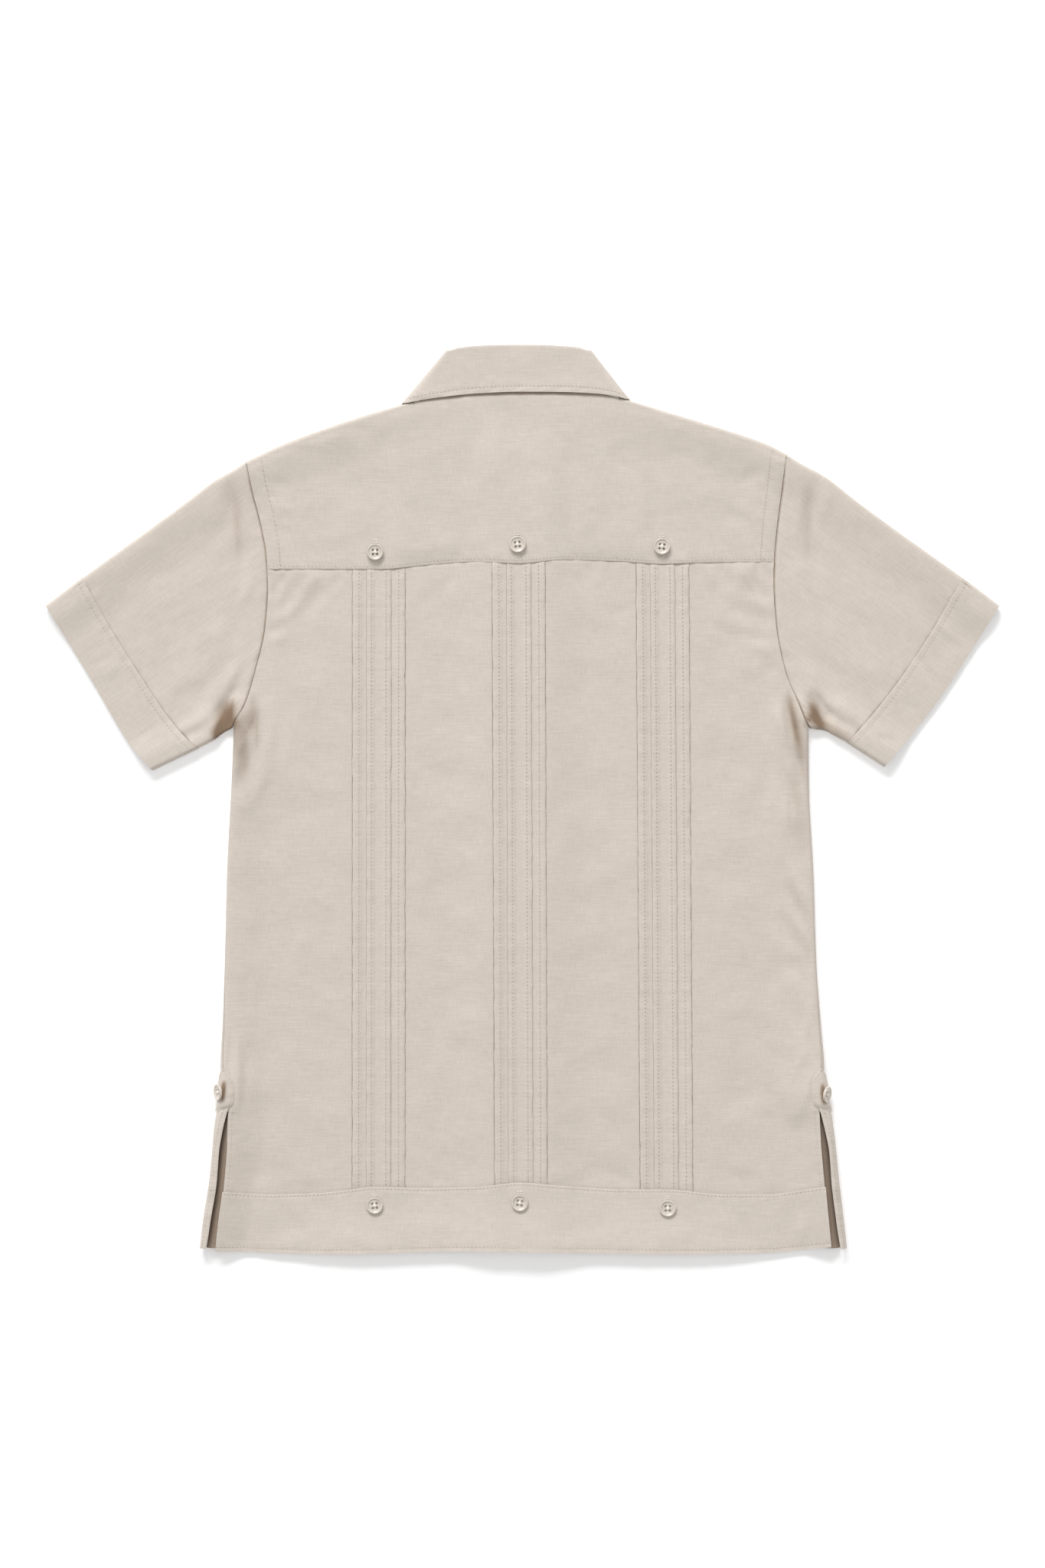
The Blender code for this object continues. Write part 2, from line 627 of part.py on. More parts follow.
def front_roll(side, level, z_at):
    """Points round the side fold from the surface to the front's edge."""
    outermost, out = at_level(SIDES, side, level), sign(side)
    outer_radius = at_level(SIDES, "height", level) / 2
    radius = outer_radius - WALL / 2
    lap = at_level(SIDES, "front_lap", level) - GAP / 2
    end = math.pi if lap >= outer_radius else math.pi / 2 + math.acos(1.0 - max(lap, -lap) / outer_radius)
    end -= 2 * GAP / radius if lap < 0 else 0.0
    flat = max(0.0, lap - outer_radius)
    length = radius * end + flat
    points = []
    for k in range(ROLL_STEPS + 1):
        run = length * k / ROLL_STEPS
        angle = min(run / radius, end)
        beyond = max(0.0, run - radius * end)
        x = outermost - out * (outer_radius - radius * math.sin(angle) + beyond)
        points.append((x, outer_radius - radius * math.cos(angle)))
    return points


def front_row(side, level, top_row=False):
    out, z_at = sign(side), FRONT_Z[side]
    share = (FRONT_TOP - level) / (FRONT_TOP - FRONT_HEM_SEAM)
    if level > ARMPIT_LEVEL - 0.5:
        reference = yoke_column(side, 0.0)[-1][1] - GAP if top_row else level
        edge = at_level(ARMHOLES, side, reference) - out * 0.25
        start = edge - out * 5.0
        roll = [(start + (edge - start) * k / ROLL_STEPS, FLOOR_CLOTH) for k in range(ROLL_STEPS + 1)]
    else:
        roll = front_roll(side, level, z_at)
    inner_limit = CENTRE + out * FRONT_ACROSS[-1]
    across = [CENTRE + out * x for x in front_columns(side)]
    between = inner_limit + (roll[0][0] - inner_limit) * 0.6
    row = []
    for x in across + [between]:
        y = level + (front_top(side, x) - FRONT_TOP) * (1.0 - share) ** 2
        row.append((x, y, z_at(x, y)))
    for x, z in roll:
        y = level + (front_top(side, x) - FRONT_TOP) * (1.0 - share) ** 2 if top_row else level
        row.append((x, y, z))
    return row


def build_fronts():
    for side in ("left", "right"):
        rows = [front_row(side, level, level == FRONT_TOP) for level in FRONT_LEVELS]
        cloth("front_" + side, [(rows, False)])
        rows = []
        for level in (FRONT_HEM_SEAM - GAP, -295.0, FRONT_HEM_EDGE):
            rows.append(front_row(side, level))
        flat = [[(x, level, z) for x, _, z in row] for row, level in zip(rows, (FRONT_HEM_SEAM - GAP, -295.0, FRONT_HEM_EDGE))]
        cloth("hem_front_" + side, [(flat, False)])


# Sleeves and cuffs


def resample(points, shares):
    """Points at shares of the length of a line."""
    points = [Vector(point) for point in points]
    lengths = np.cumsum([0.0] + [(b - a).length for a, b in zip(points, points[1:])])
    spots = [share * lengths[-1] for share in shares]
    xs = np.interp(spots, lengths, [point.x for point in points])
    ys = np.interp(spots, lengths, [point.y for point in points])
    return [Vector((x, y)) for x, y in zip(xs, ys)]


def ring(section, upper_height, lower_height, wall, lift_by=0.0):
    """A flattened tube's ring: upper cloth, fold, lower cloth, fold. section is the plan line
    between the middles of its two folds."""
    points = [(p.x, p.y, top_z(p.x, p.y) + lift_by) for p in section]
    for end, before, height, upwards in ((section[-1], section[-2], lower_height, False),
                                         (section[0], section[1], upper_height, True)):
        out = (end - before).normalized()
        top = points[-1][2] if not upwards else points[0][2]
        low = wall / 2
        radius = (top - low) / 2
        arc = []
        for k in range(1, ARC_STEPS):
            turn = math.radians(90.0 - 180.0 * k / ARC_STEPS)
            here = end + out * (radius * math.cos(turn))
            arc.append((here.x, here.y, low + radius + radius * math.sin(turn)))
        if upwards:
            points += arc[::-1]
        else:
            points += arc + [(p.x, p.y, low) for p in section[::-1]]
    return points


def trimmed(line, upper_height, lower_height):
    """A plan line cut back from both folds' outermost lines to where the folds start."""
    points = [Vector(point) for point in line]
    points[0] = points[0] + (points[1] - points[0]).normalized() * (upper_height / 2)
    points[-1] = points[-1] + (points[-2] - points[-1]).normalized() * (lower_height / 2)
    return points


def armhole_line(side):
    """The sleeve seam's corners on the flat cloth, shared with the yoke, the back and the front."""
    out = sign(side)
    edge = YOKE_EDGE[0] if side == "left" else YOKE_EDGE[-1]
    corners = [armhole_start(side)]
    levels = [row.level for row in ARMHOLES if row.level < corners[0].y - 1.0] + [edge[1]]
    for level in sorted(levels, reverse=True):
        corners.append(Vector((at_level(ARMHOLES, side, level), level)))
    return [corner + Vector((out * 0.25, 0.0)) for corner in corners]


SLEEVE_SHARES = (0.12, 0.35, 0.65, 1.0)


def build_sleeves():
    for side in ("left", "right"):
        start = armhole_line(side)
        lengths = np.cumsum([0.0] + [(b - a).length for a, b in zip(start, start[1:])])
        shares = list(lengths / lengths[-1])
        shoulder = [Vector(point[:2]) for point in SHOULDERS[side][SHOULDER_TIP:-1]]
        under = [Vector(point[:2]) for point in UNDERARMS[side][:3]]
        seam = resample(CUFF_SEAMS[side], shares)
        rings = [ring(start, 6.0, 7.4, WALL)]
        for share in SLEEVE_SHARES:
            upper = resample(shoulder, [share])[0]
            lower = resample(under, [share])[0]
            upper_height, lower_height = 6.0 + 0.2 * share, 7.4 - 0.4 * share
            plain = [a.lerp(b, share) for a, b in zip(start, seam)]
            shift_up, shift_low = upper - plain[0], lower - plain[-1]
            plain = [p + shift_up * (1 - s) + shift_low * s for p, s in zip(plain, shares)]
            whole = trimmed(plain, upper_height, lower_height)
            even = resample(whole, [k / 8 for k in range(9)])
            blend = min(1.0, share / 0.65)
            own = resample(whole, shares)
            line = [a.lerp(b, blend) for a, b in zip(own, resample(whole, even_shares(len(own))))]
            rings.append(ring(line, upper_height, lower_height, WALL))
        rings[-1] = [(x + sign(side) * -0.2, y + 0.1, z) for x, y, z in rings[-1]]
        cloth("sleeve_" + side, [(rings, True)])


def even_shares(count):
    return [k / (count - 1) for k in range(count)]


def build_cuffs():
    count = 9
    for side in ("left", "right"):
        rings = []
        for share in (0.0, 0.5, 1.0):
            seam = resample(CUFF_SEAMS[side], even_shares(count))
            end = resample(CUFF_ENDS[side], even_shares(count))
            line = [a.lerp(b, share) for a, b in zip(seam, end)]
            line = trimmed(line, 6.6, 7.4)
            line = resample(line, even_shares(count))
            if share == 0.0:
                line = [p + Vector((sign(side) * 0.35, -0.2)) for p in line]
            rings.append(ring(line, 6.6, 7.4, CUFF_WALL, (CUFF_WALL - WALL) / 2))
        cloth("cuff_" + side, [(rings, True)], CUFF_WALL)


# Collar


def collar_axis(y):
    return float(np.interp(y, [COLLAR_BASE, COLLAR_TOP], [COLLAR_BASE_AXIS, COLLAR_TOP_AXIS]))


Neck = namedtuple("Neck", "turn base top outer")


def neck_stations(side):
    """Half of the collar, from the middle of the back round to the front: seam, top edge and free edge."""
    out = sign(side)
    column = yoke_column(side, 1.0)
    seam = [(x, neck_y(x)) for x in [CENTRE] + [place.top for place in NECK_COLUMNS[side]]]
    seam = [(x, y, top_z(x, y)) for x, y in seam] + column[YOKE_TOP_ROWS - 1:]
    for from_centre in front_columns(side)[NECK_CORNER - 1:1:-1] + (6.0,):
        x, y = CENTRE + out * from_centre, neck_seam_y(side, from_centre)
        seam.append((x, y, FRONT_Z[side](x, y)))
    rows = [(90.0, row) for row in COLLAR_BACK]
    rows += [(turn, None) for turn in COLLAR_TURNS]
    rows += [(-90.0, row) for row in COLLAR_FRONT]

    stations = []
    for (turn, row), base in zip(rows, seam):
        if row:
            top = Vector((collar_axis(row.top_y) + out * row.top_x, row.top_y))
            z_top = COLLAR_BACK_Z if turn > 0 else FRONT_Z[side](top.x, top.y)
            if row.outer_y is None:
                outer = edge_round_shoulder(side, row.outer_x, turn)
            else:
                outer = Vector((collar_axis(row.outer_y) + out * row.outer_x, row.outer_y))
            stations.append(Neck(turn, Vector(base), top.to_3d() + Vector((0, 0, z_top)), outer))
            continue
        round_by, before = math.radians(turn), (90.0 - turn) / 180.0
        first, last = COLLAR_BACK[-1], COLLAR_FRONT[0]
        flat = Vector((first.top_x, first.top_y)).lerp(Vector((last.top_x, last.top_y)), before)
        low, high = FLOOR_CLOTH + LAYER, COLLAR_BACK_Z
        half = (high - low) / 2
        flat += Vector(SLANT) * (half * math.cos(round_by))
        top = Vector((collar_axis(flat.y) + out * flat.x, flat.y, (low + high) / 2 + half * math.sin(round_by)))
        outer = edge_round_shoulder(side, COLLAR_EDGE_X[COLLAR_TURNS.index(turn)], turn)
        stations.append(Neck(turn, Vector(base), top, outer))
    return stations


def edge_round_shoulder(side, x_out, turn):
    """The leaf's free edge in plan, where it goes round the shoulder fold, one layer outside it."""
    _, _, top, bottom = shoulder_fold(side, 1.0)
    radius = (top - bottom) / 2
    x = COLLAR_BASE_AXIS + sign(side) * x_out
    line = SHOULDERS[side][:3]
    fold_y = float(np.interp(abs(x), [abs(point.x) for point in line], [point.y for point in line]))
    return Vector((x, fold_y - radius - WALL / 2 + (radius + LAYER) * math.cos(math.radians(turn))))


def round_the_neck():
    """(side, station) pairs from the left front round the back to the right front."""
    left = [("left", station) for station in neck_stations("left")]
    return left[::-1] + [("right", station) for station in neck_stations("right")[1:]]


def stand_rows():
    rows = []
    for side, station in round_the_neck():
        across = station.top - station.base
        start = station.base + across.normalized() * 1.2 * GAP
        rows.append([tuple(start.lerp(station.top, share)) for share in (0.0, 0.5, 1.0)])
    first, last = rows[0], rows[-1]
    lap_left = [(CENTRE + STAND_LAP, y, FLOOR_CLOTH + PLACKET_LIFT) for _, y, _ in first]
    lap_right = [(CENTRE - STAND_LAP, y, FLOOR_CLOTH + PLACKET_LIFT + LAYER) for _, y, _ in last]
    return [lap_left] + rows + [lap_right]


LEAF_SHARES = (0.3, 0.65, 1.0)


def leaf_rows():
    """The leaf starts at the stand's top edge, turns over and lies outside the stand."""
    rows = []
    for side, station in round_the_neck():
        turn = math.radians(station.turn)
        level_out = Vector(SLANT) * math.cos(turn)
        outside = Vector((sign(side) * level_out.x, level_out.y, math.sin(turn))) * LAYER
        if station.turn < -89.0:
            outside.z = left_front_z(station.top.x, station.top.y) - LAYER - station.top.z
        free = station.outer
        rise = Vector((station.top.x - free.x, station.top.y - free.y, 0.0)).normalized()
        row = [
            station.top + rise * LEAF_SEAM,
            station.top + rise * 0.9,
            station.top + rise * 1.5 + outside / 2,
            station.top + rise * 0.9 + outside,
            station.top + outside,
        ]
        if station.turn > 89.0:
            z_free = top_z(free.x, free.y) + LAYER
        elif station.turn < -89.0:
            z_free = FLOOR_CLOTH
        else:
            _, _, top, bottom = shoulder_fold(side, 1.0)
            z_free = (top + bottom) / 2 + ((top - bottom) / 2 + LAYER) * math.sin(turn)
        start, end = row[-1], Vector((free.x, free.y, z_free))
        for share in LEAF_SHARES:
            here = start.lerp(end, share)
            if station.turn < -89.0:
                lift = left_front_z(here.x, here.y) - LAYER - FLOOR_CLOTH
                here.z = FLOOR_CLOTH + 0.6 * max(0.0, lift)
            row.append(here)
        rows.append([tuple(point) for point in row])
    return rows


def build_collar():
    cloth("collar_stand", [(stand_rows(), False)])
    cloth("collar_leaf", [(leaf_rows(), False)])


# Vent patches


def patch_point(side, level, run):
    """A point moved out from the side fold, run along it from the side seam, + towards the back."""
    outermost, out = at_level(SIDES, side, level), sign(side)
    outer_radius = at_level(SIDES, "height", level) / 2
    lap = at_level(SIDES, "front_lap", -196.0)
    seam = math.acos(1.0 - lap / outer_radius)
    radius = outer_radius - WALL / 2
    moved = radius + LAYER
    angle = seam + run / moved
    centre_x = outermost - out * outer_radius
    if angle > math.pi / 2:
        beyond = (angle - math.pi / 2) * moved
        x = centre_x - out * beyond
        return x, level, top_z(x, level) + LAYER
    return centre_x + out * moved * math.cos(angle), level, outer_radius + moved * math.sin(angle)


def patch_rows(side):
    return [[patch_point(side, row.level, row.half_width * k / 4) for k in range(-4, 5)] for row in VENT_PATCH]


def build_vent_patches():
    for side in ("left", "right"):
        cloth("vent_patch_" + side, [(patch_rows(side), False)])


# Buttons


def button_mesh():
    """A four-hole shirt button, its flat back at z 0 and its raised rim up."""
    profile = ((4.6, 0.0), (BUTTON_RADIUS, 0.9), (5.5, 2.0), (4.9, BUTTON_HEIGHT), (3.8, 1.6))
    mesh = bmesh.new()
    loops = []
    for radius, height in profile:
        loops.append([
            mesh.verts.new((radius * MM * math.cos(a), radius * MM * math.sin(a), height * MM))
            for a in (2 * math.pi * k / BUTTON_SIDES for k in range(BUTTON_SIDES))
        ])
    for lower, upper in zip(loops, loops[1:]):
        for k in range(BUTTON_SIDES):
            after = (k + 1) % BUTTON_SIDES
            mesh.faces.new((lower[k], lower[after], upper[after], upper[k]))
    mesh.faces.new(loops[0][::-1])
    mesh.faces.new(loops[-1])
    data = bpy.data.meshes.new("button")
    mesh.to_mesh(data)
    mesh.free()
    data.materials.append(BUTTON)

    cutters = bmesh.new()
    for x in (-HOLE_OFFSET, HOLE_OFFSET):
        for y in (-HOLE_OFFSET, HOLE_OFFSET):
            place = Matrix.Translation((x * MM, y * MM, BUTTON_HEIGHT / 2 * MM)) @ Matrix.Rotation(math.pi / 4, 4, "Z")
            bmesh.ops.create_cone(cutters, cap_ends=True, segments=4, radius1=HOLE_RADIUS * MM,
                                  radius2=HOLE_RADIUS * MM, depth=3 * BUTTON_HEIGHT * MM, matrix=place)
    holes = bpy.data.meshes.new("button_holes")
    cutters.to_mesh(holes)
    cutters.free()
    blank = bpy.data.objects.new("button_blank", data)
    cutter = bpy.data.objects.new("button_holes", holes)
    for piece in (blank, cutter):
        bpy.context.collection.objects.link(piece)
    cut = blank.modifiers.new("Holes", "BOOLEAN")
    cut.operation, cut.object = "DIFFERENCE", cutter
    graph = bpy.context.evaluated_depsgraph_get()
    drilled = bpy.data.meshes.new_from_object(blank.evaluated_get(graph))
    drilled.name = "shirt_button"
    bpy.data.objects.remove(blank)
    bpy.data.objects.remove(cutter)
    drilled.shade_smooth()
    drilled.set_sharp_from_angle(angle=math.radians(35.0))
    return drilled


def add_button(name, mesh, place, facing):
    """A button whose back is at place, in millimetres, and whose face looks along facing."""
    piece = bpy.data.objects.new(name, mesh)
    piece.location = [value * MM for value in place]
    piece.rotation_euler = Vector(facing).to_track_quat("Z", "Y").to_euler()
    bpy.context.collection.objects.link(piece)


def build_buttons():
    mesh = button_mesh()
    sit = WALL / 2 + GAP
    for group, places in (("yoke", YOKE_BUTTONS), ("hem", HEM_BUTTONS)):
        for name, (x, y) in zip(("left", "middle", "right"), places):
            highest = max(
                top_z(x + dx, y + dy) + tuck_relief(x + dx, y + dy)
                for dx in (-4.6, 0.0, 4.6) for dy in (-4.6, 0.0, 4.6)
            )
            add_button(f"button_{group}_{name}", mesh, (x, y, highest + sit), (0, 0, 1))
    for side, level in VENT_BUTTONS.items():
        out, rise = sign(side), math.radians(VENT_BUTTON_RISE)
        flare = at_level(SIDES, side, level + BUTTON_RADIUS) - at_level(SIDES, side, level - BUTTON_RADIUS)
        facing = Vector((out * math.cos(rise), out * flare / (2 * BUTTON_RADIUS), math.sin(rise))).normalized()
        outer_radius = at_level(SIDES, "height", level) / 2
        middle = Vector((at_level(SIDES, side, level) - out * outer_radius, level, outer_radius))
        under = [Vector(point) - middle for row in patch_rows(side) for point in row]
        near = [v.dot(facing) for v in under if (v - facing * v.dot(facing)).length < BUTTON_RADIUS + 3.0]
        add_button("button_vent_" + side, mesh, middle + facing * (max(near) + WALL / 2 + GAP), facing)
    for number, level in enumerate(FRONT_BUTTONS, 1):
        add_button(f"button_front_{number}", mesh, (CENTRE, level, BUTTON_HEIGHT), (0, 0, -1))
    add_button("button_collar", mesh, (CENTRE, COLLAR_BUTTON, BUTTON_HEIGHT), (0, 0, -1))


for old in list(bpy.data.objects):
    bpy.data.objects.remove(old)

CLOTH = material("linen_cotton_cloth", CLOTH_COLOUR, 0.9)
BUTTON = material("pale_shell_button", BUTTON_COLOUR, 0.3)

build_back()
build_hem_back()
build_yoke()
build_fronts()
build_sleeves()
build_cuffs()
build_collar()
build_vent_patches()
build_buttons()
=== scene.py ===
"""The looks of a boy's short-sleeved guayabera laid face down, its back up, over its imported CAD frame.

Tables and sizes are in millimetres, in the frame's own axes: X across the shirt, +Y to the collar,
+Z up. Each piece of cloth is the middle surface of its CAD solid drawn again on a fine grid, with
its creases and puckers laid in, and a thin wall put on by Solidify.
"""

import math
from collections import namedtuple

import bmesh
import bpy
import numpy as np
from mathutils import Matrix, Vector


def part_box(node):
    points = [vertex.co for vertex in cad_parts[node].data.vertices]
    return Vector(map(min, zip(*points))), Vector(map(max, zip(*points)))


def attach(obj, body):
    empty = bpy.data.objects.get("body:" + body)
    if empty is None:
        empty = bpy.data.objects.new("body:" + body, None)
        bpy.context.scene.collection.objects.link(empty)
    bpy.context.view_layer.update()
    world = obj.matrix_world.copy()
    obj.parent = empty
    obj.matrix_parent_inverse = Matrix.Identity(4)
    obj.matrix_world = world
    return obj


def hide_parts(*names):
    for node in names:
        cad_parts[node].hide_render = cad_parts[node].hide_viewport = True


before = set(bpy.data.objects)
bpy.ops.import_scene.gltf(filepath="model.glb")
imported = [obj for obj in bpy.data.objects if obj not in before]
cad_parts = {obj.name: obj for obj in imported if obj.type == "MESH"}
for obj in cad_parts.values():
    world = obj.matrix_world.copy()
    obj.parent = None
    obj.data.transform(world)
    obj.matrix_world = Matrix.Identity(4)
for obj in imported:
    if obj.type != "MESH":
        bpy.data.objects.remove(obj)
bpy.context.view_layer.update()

MM = 0.001
SHELL = 0.4                     # the cloth's wall here, inside the CAD's 1 mm
DOUBLED = 0.6                   # cuffs, collar and bands
# the CAD's wall, the space between two walls, and from the middle of one wall to the next
WALL, GAP, LAYER = 1.0, 0.3, 1.3
# middle heights of the fronts and of the back where they lie flat
FLOOR_CLOTH, TOP_CLOTH = 0.5, 2.2
# middle of the placket, and how far each front runs past it
CENTRE, OVERLAP = -2.6, 15.0
# what the placket lifts the cloth by, half its flat width, and the slope beside it
PLACKET_LIFT, PLACKET_FLAT, PLACKET_FADE = 2.7, 17.0, 34.0
# the collar leaf under the fronts: half its width, its lowest level and the slope beside it
LEAF_REACH, LEAF_TOP, LEAF_FADE = 84.0, 178.0, 14.0
# from here up the cloth over the placket sinks, over so long a way, to the opening of the neck
PLACKET_TOP, NECK_FADE = 222.0, 64.0
# depth of the yoke on the front, and how far the cloth slopes down from a fold
YOKE_FRONT, LOFT_FADE = 28.0, 30.0
STITCH = 2.7                    # from one stitch to the next
BUTTON_RADIUS, BUTTON_HEIGHT = 5.75, 2.4

# Side folds of the body: level, outermost line left and right, height, and how far from that line
# the front (underneath) and the back (on top) end
SIDES = np.array((
    (46.0, -202.2, 200.2, 7.4, 0.0, 0.0), (13.0, -203.6, 200.4, 6.6, 0.0, 0.0),
    (-51.0, -206.8, 203.6, 6.0, 0.0, 0.0), (-115.0, -208.4, 205.7, 6.2, 0.4, 0.4),
    (-158.0, -210.0, 208.9, 7.4, 1.5, 1.5), (-187.0, -211.3, 211.1, 9.0, 2.1, 2.1),
    (-197.0, -209.6, 210.0, 9.6, 3.0, 3.0), (-204.0, -209.2, 209.8, 10.0, 5.0, 5.0),
    (-210.0, -210.2, 211.2, 10.0, 7.0, 7.2), (-218.0, -213.8, 215.6, 10.0, 7.8, 8.4),
    (-228.0, -215.6, 217.4, 10.0, 7.0, 9.6), (-246.0, -217.2, 219.5, 10.0, 5.6, 10.6),
    (-270.0, -219.7, 221.9, 10.0, 6.1, 10.9), (-295.0, -223.6, 224.8, 10.0, 5.9, 11.6),
    (-313.0, -225.6, 226.8, 9.6, 5.0, 11.9),
))
SIDE_COLUMN = {"left": 1, "right": 2, "height": 3, "front_lap": 4, "back_lap": 5}
# Sleeve seams: level, left, right
ARMHOLES = np.array((
    (240.0, -193.6, 184.1), (216.0, -189.1, 181.4), (193.0, -183.2, 178.3), (169.0, -179.0, 176.1),
    (152.0, -178.2, 175.7), (124.0, -180.0, 177.3), (90.0, -187.5, 183.9), (66.0, -195.0, 193.5),
    (56.0, -201.0, 197.4), (53.0, -202.0, 199.0),
))
ARMPIT = 53.0
ARM_GAP = 0.25                  # from the armhole seam to the cloth on each side of it
SIDE_TOP = SIDES[0, 0]
VENT_TOP = {"back": -216.0, "front": -214.0}
FAR = 20.0                      # so far off any stitching that it leaves no mark
# Folds from the neck over the shoulder and down the sleeve, and under the arm: x, y, height
SHOULDERS = {
    "left": ((-76.5, 278.6, 5.2), (-106.2, 270.2, 5.4), (-138.8, 259.5, 5.6), (-167.2, 248.8, 5.8),
             (-192.9, 236.8, 6.0), (-208.4, 227.4, 6.0), (-236.7, 206.0, 6.0), (-308.0, 154.0, 6.2),
             (-333.0, 135.4, 6.4)),
    "right": ((68.5, 281.2, 5.2), (105.1, 270.2, 5.4), (139.9, 259.5, 5.6), (170.9, 248.8, 5.8),
              (184.0, 242.0, 6.0), (208.4, 227.4, 6.0), (236.2, 206.0, 6.0), (308.0, 154.0, 6.2),
              (333.0, 135.4, 6.4)),
}
UNDERARMS = {
    "left": ((-202.6, 49.4, 7.4), (-214.8, 41.7, 7.0), (-226.6, 35.8, 7.0), (-247.4, 25.1, 7.2), (-258.1, 20.0, 7.4)),
    "right": ((201.0, 50.2, 7.4), (213.0, 46.6, 7.0), (226.6, 40.0, 7.0), (241.0, 30.4, 7.2), (252.6, 22.6, 7.4)),
}
# Cuff seams and the cuffs' open ends, from the top fold to the underarm: x, y
CUFF_SEAMS = {
    "left": ((-307.6, 154.4), (-291.3, 124.1), (-268.8, 88.3), (-250.7, 61.0), (-232.5, 40.1), (-226.6, 35.4)),
    "right": ((307.6, 154.4), (284.9, 115.0), (261.9, 80.8), (243.7, 57.8), (230.6, 43.6), (226.6, 39.6)),
}
CUFF_ENDS = {
    "left": ((-333.0, 135.4), (-316.5, 108.8), (-300.4, 82.4), (-274.7, 39.6), (-262.0, 24.4), (-258.1, 20.4)),
    "right": ((333.0, 135.4), (311.1, 100.6), (291.3, 70.6), (268.3, 41.2), (255.6, 26.4), (252.6, 22.8)),
}
# The two seams of the back and the shirt's lower edge: x, y
YOKE_EDGE = (
    (-178.7, 161.2), (-100.4, 161.3), (-65.5, 164.4), (-33.4, 166.4), (-2.7, 165.2),
    (29.0, 167.8), (66.0, 166.8), (97.9, 165.0), (134.0, 166.0), (176.1, 166.2),
)
HEM_SEAM = (
    (-208.8, -273.4), (-178.0, -275.7), (-140.0, -274.5), (-100.6, -270.2), (-65.5, -271.2),
    (-33.4, -270.2), (-1.1, -267.0), (30.0, -269.7), (70.0, -272.1), (100.7, -272.1),
    (140.0, -275.6), (170.0, -275.7), (210.0, -269.9),
)
HEM_EDGE = (
    (-213.7, -315.1), (-135.1, -317.3), (-33.4, -315.1), (41.5, -316.2), (105.7, -317.3),
    (169.9, -316.5), (214.3, -312.2),
)
BACK_TOP, BACK_BOTTOM = 165.0, -271.0
FRONT_TOP, FRONT_HEM_SEAM, FRONT_HEM_EDGE = 206.0, -270.0, -313.0
BANDS = ((-100.4, -100.6), (-2.7, -1.1), (97.9, 100.7))      # middles of the tuck bands, top and bottom
TUCKS = ((18.1, 13.9), (8.3, 5.1))                           # fold and stitching, out from a band's middle
TUCK_RISE = 0.36                                             # one pressed layer of a tuck to the next

# Collar from the middle of the back to the leaf's point: top fold x, y and the leaf's free edge x, y.
# The free edge goes over the shoulder at the next three places.
COLLAR_BACK = ((0.0, 316.4, 0.0, 285.8), (16.0, 316.3, 17.0, 285.6), (27.0, 315.8, 30.0, 285.2),
               (43.0, 314.4, 55.0, 282.9), (49.6, 312.8, 72.8, None))
COLLAR_FRONT = ((49.6, 310.4, 79.8, None), (49.0, 294.0, 78.0, 243.0), (45.0, 273.0, 73.0, 221.0),
                (36.0, 254.0, 66.0, 203.0), (25.0, 241.0, 58.0, 190.0), (14.0, 233.6, 50.0, 181.0),
                (6.8, 231.0, 42.0, 186.0))
COLLAR_EDGE_X = (76.6, 79.0, 79.8)
# Neck seam on the back, and the dip, half width and depth of its ellipse on the fronts
NECK_HEADS = {"left": (-19.6, -30.2, -58.0), "right": (14.4, 25.0, 52.0)}
NECK_DIP, NECK_HALF, NECK_DEPTH = 252.0, 70.0, 46.0
SLEEVE_WAY = (0.806, 0.593)     # how far a sleeve runs out and down, for each step along it

# The leaf's free edge on the back, and the buttons that have a bar of thread beside them: x, y
LEAF_EDGE = ((-84.8, 276.6), (-78.6, 277.9), (-60.0, 281.0), (-32.4, 284.0), (1.3, 285.3), (30.0, 285.0), (52.7, 283.8),
             (66.0, 281.8), (75.7, 279.3), (79.0, 278.2))
YOKE_BUTTONS = ((-103.0, 173.3), (-3.5, 178.5), (97.4, 177.2))
HEM_BUTTONS = ((-103.3, -283.3), (-1.9, -281.1), (101.5, -285.2))

# Hollows pressed in about the armpits and creases laid in one by one. Place, direction of the long way,
# half length and half width, height (a trough is negative), and how far the line bows sideways.
Crease = namedtuple("Crease", "x y angle length width height bow", defaults=(0.0,))
CREASE_HEIGHT = 1.6             # times the height in the tables; hollows and the painted fold shade are taken as they are


def creases(*rows):
    return tuple(Crease(*row) for row in rows)


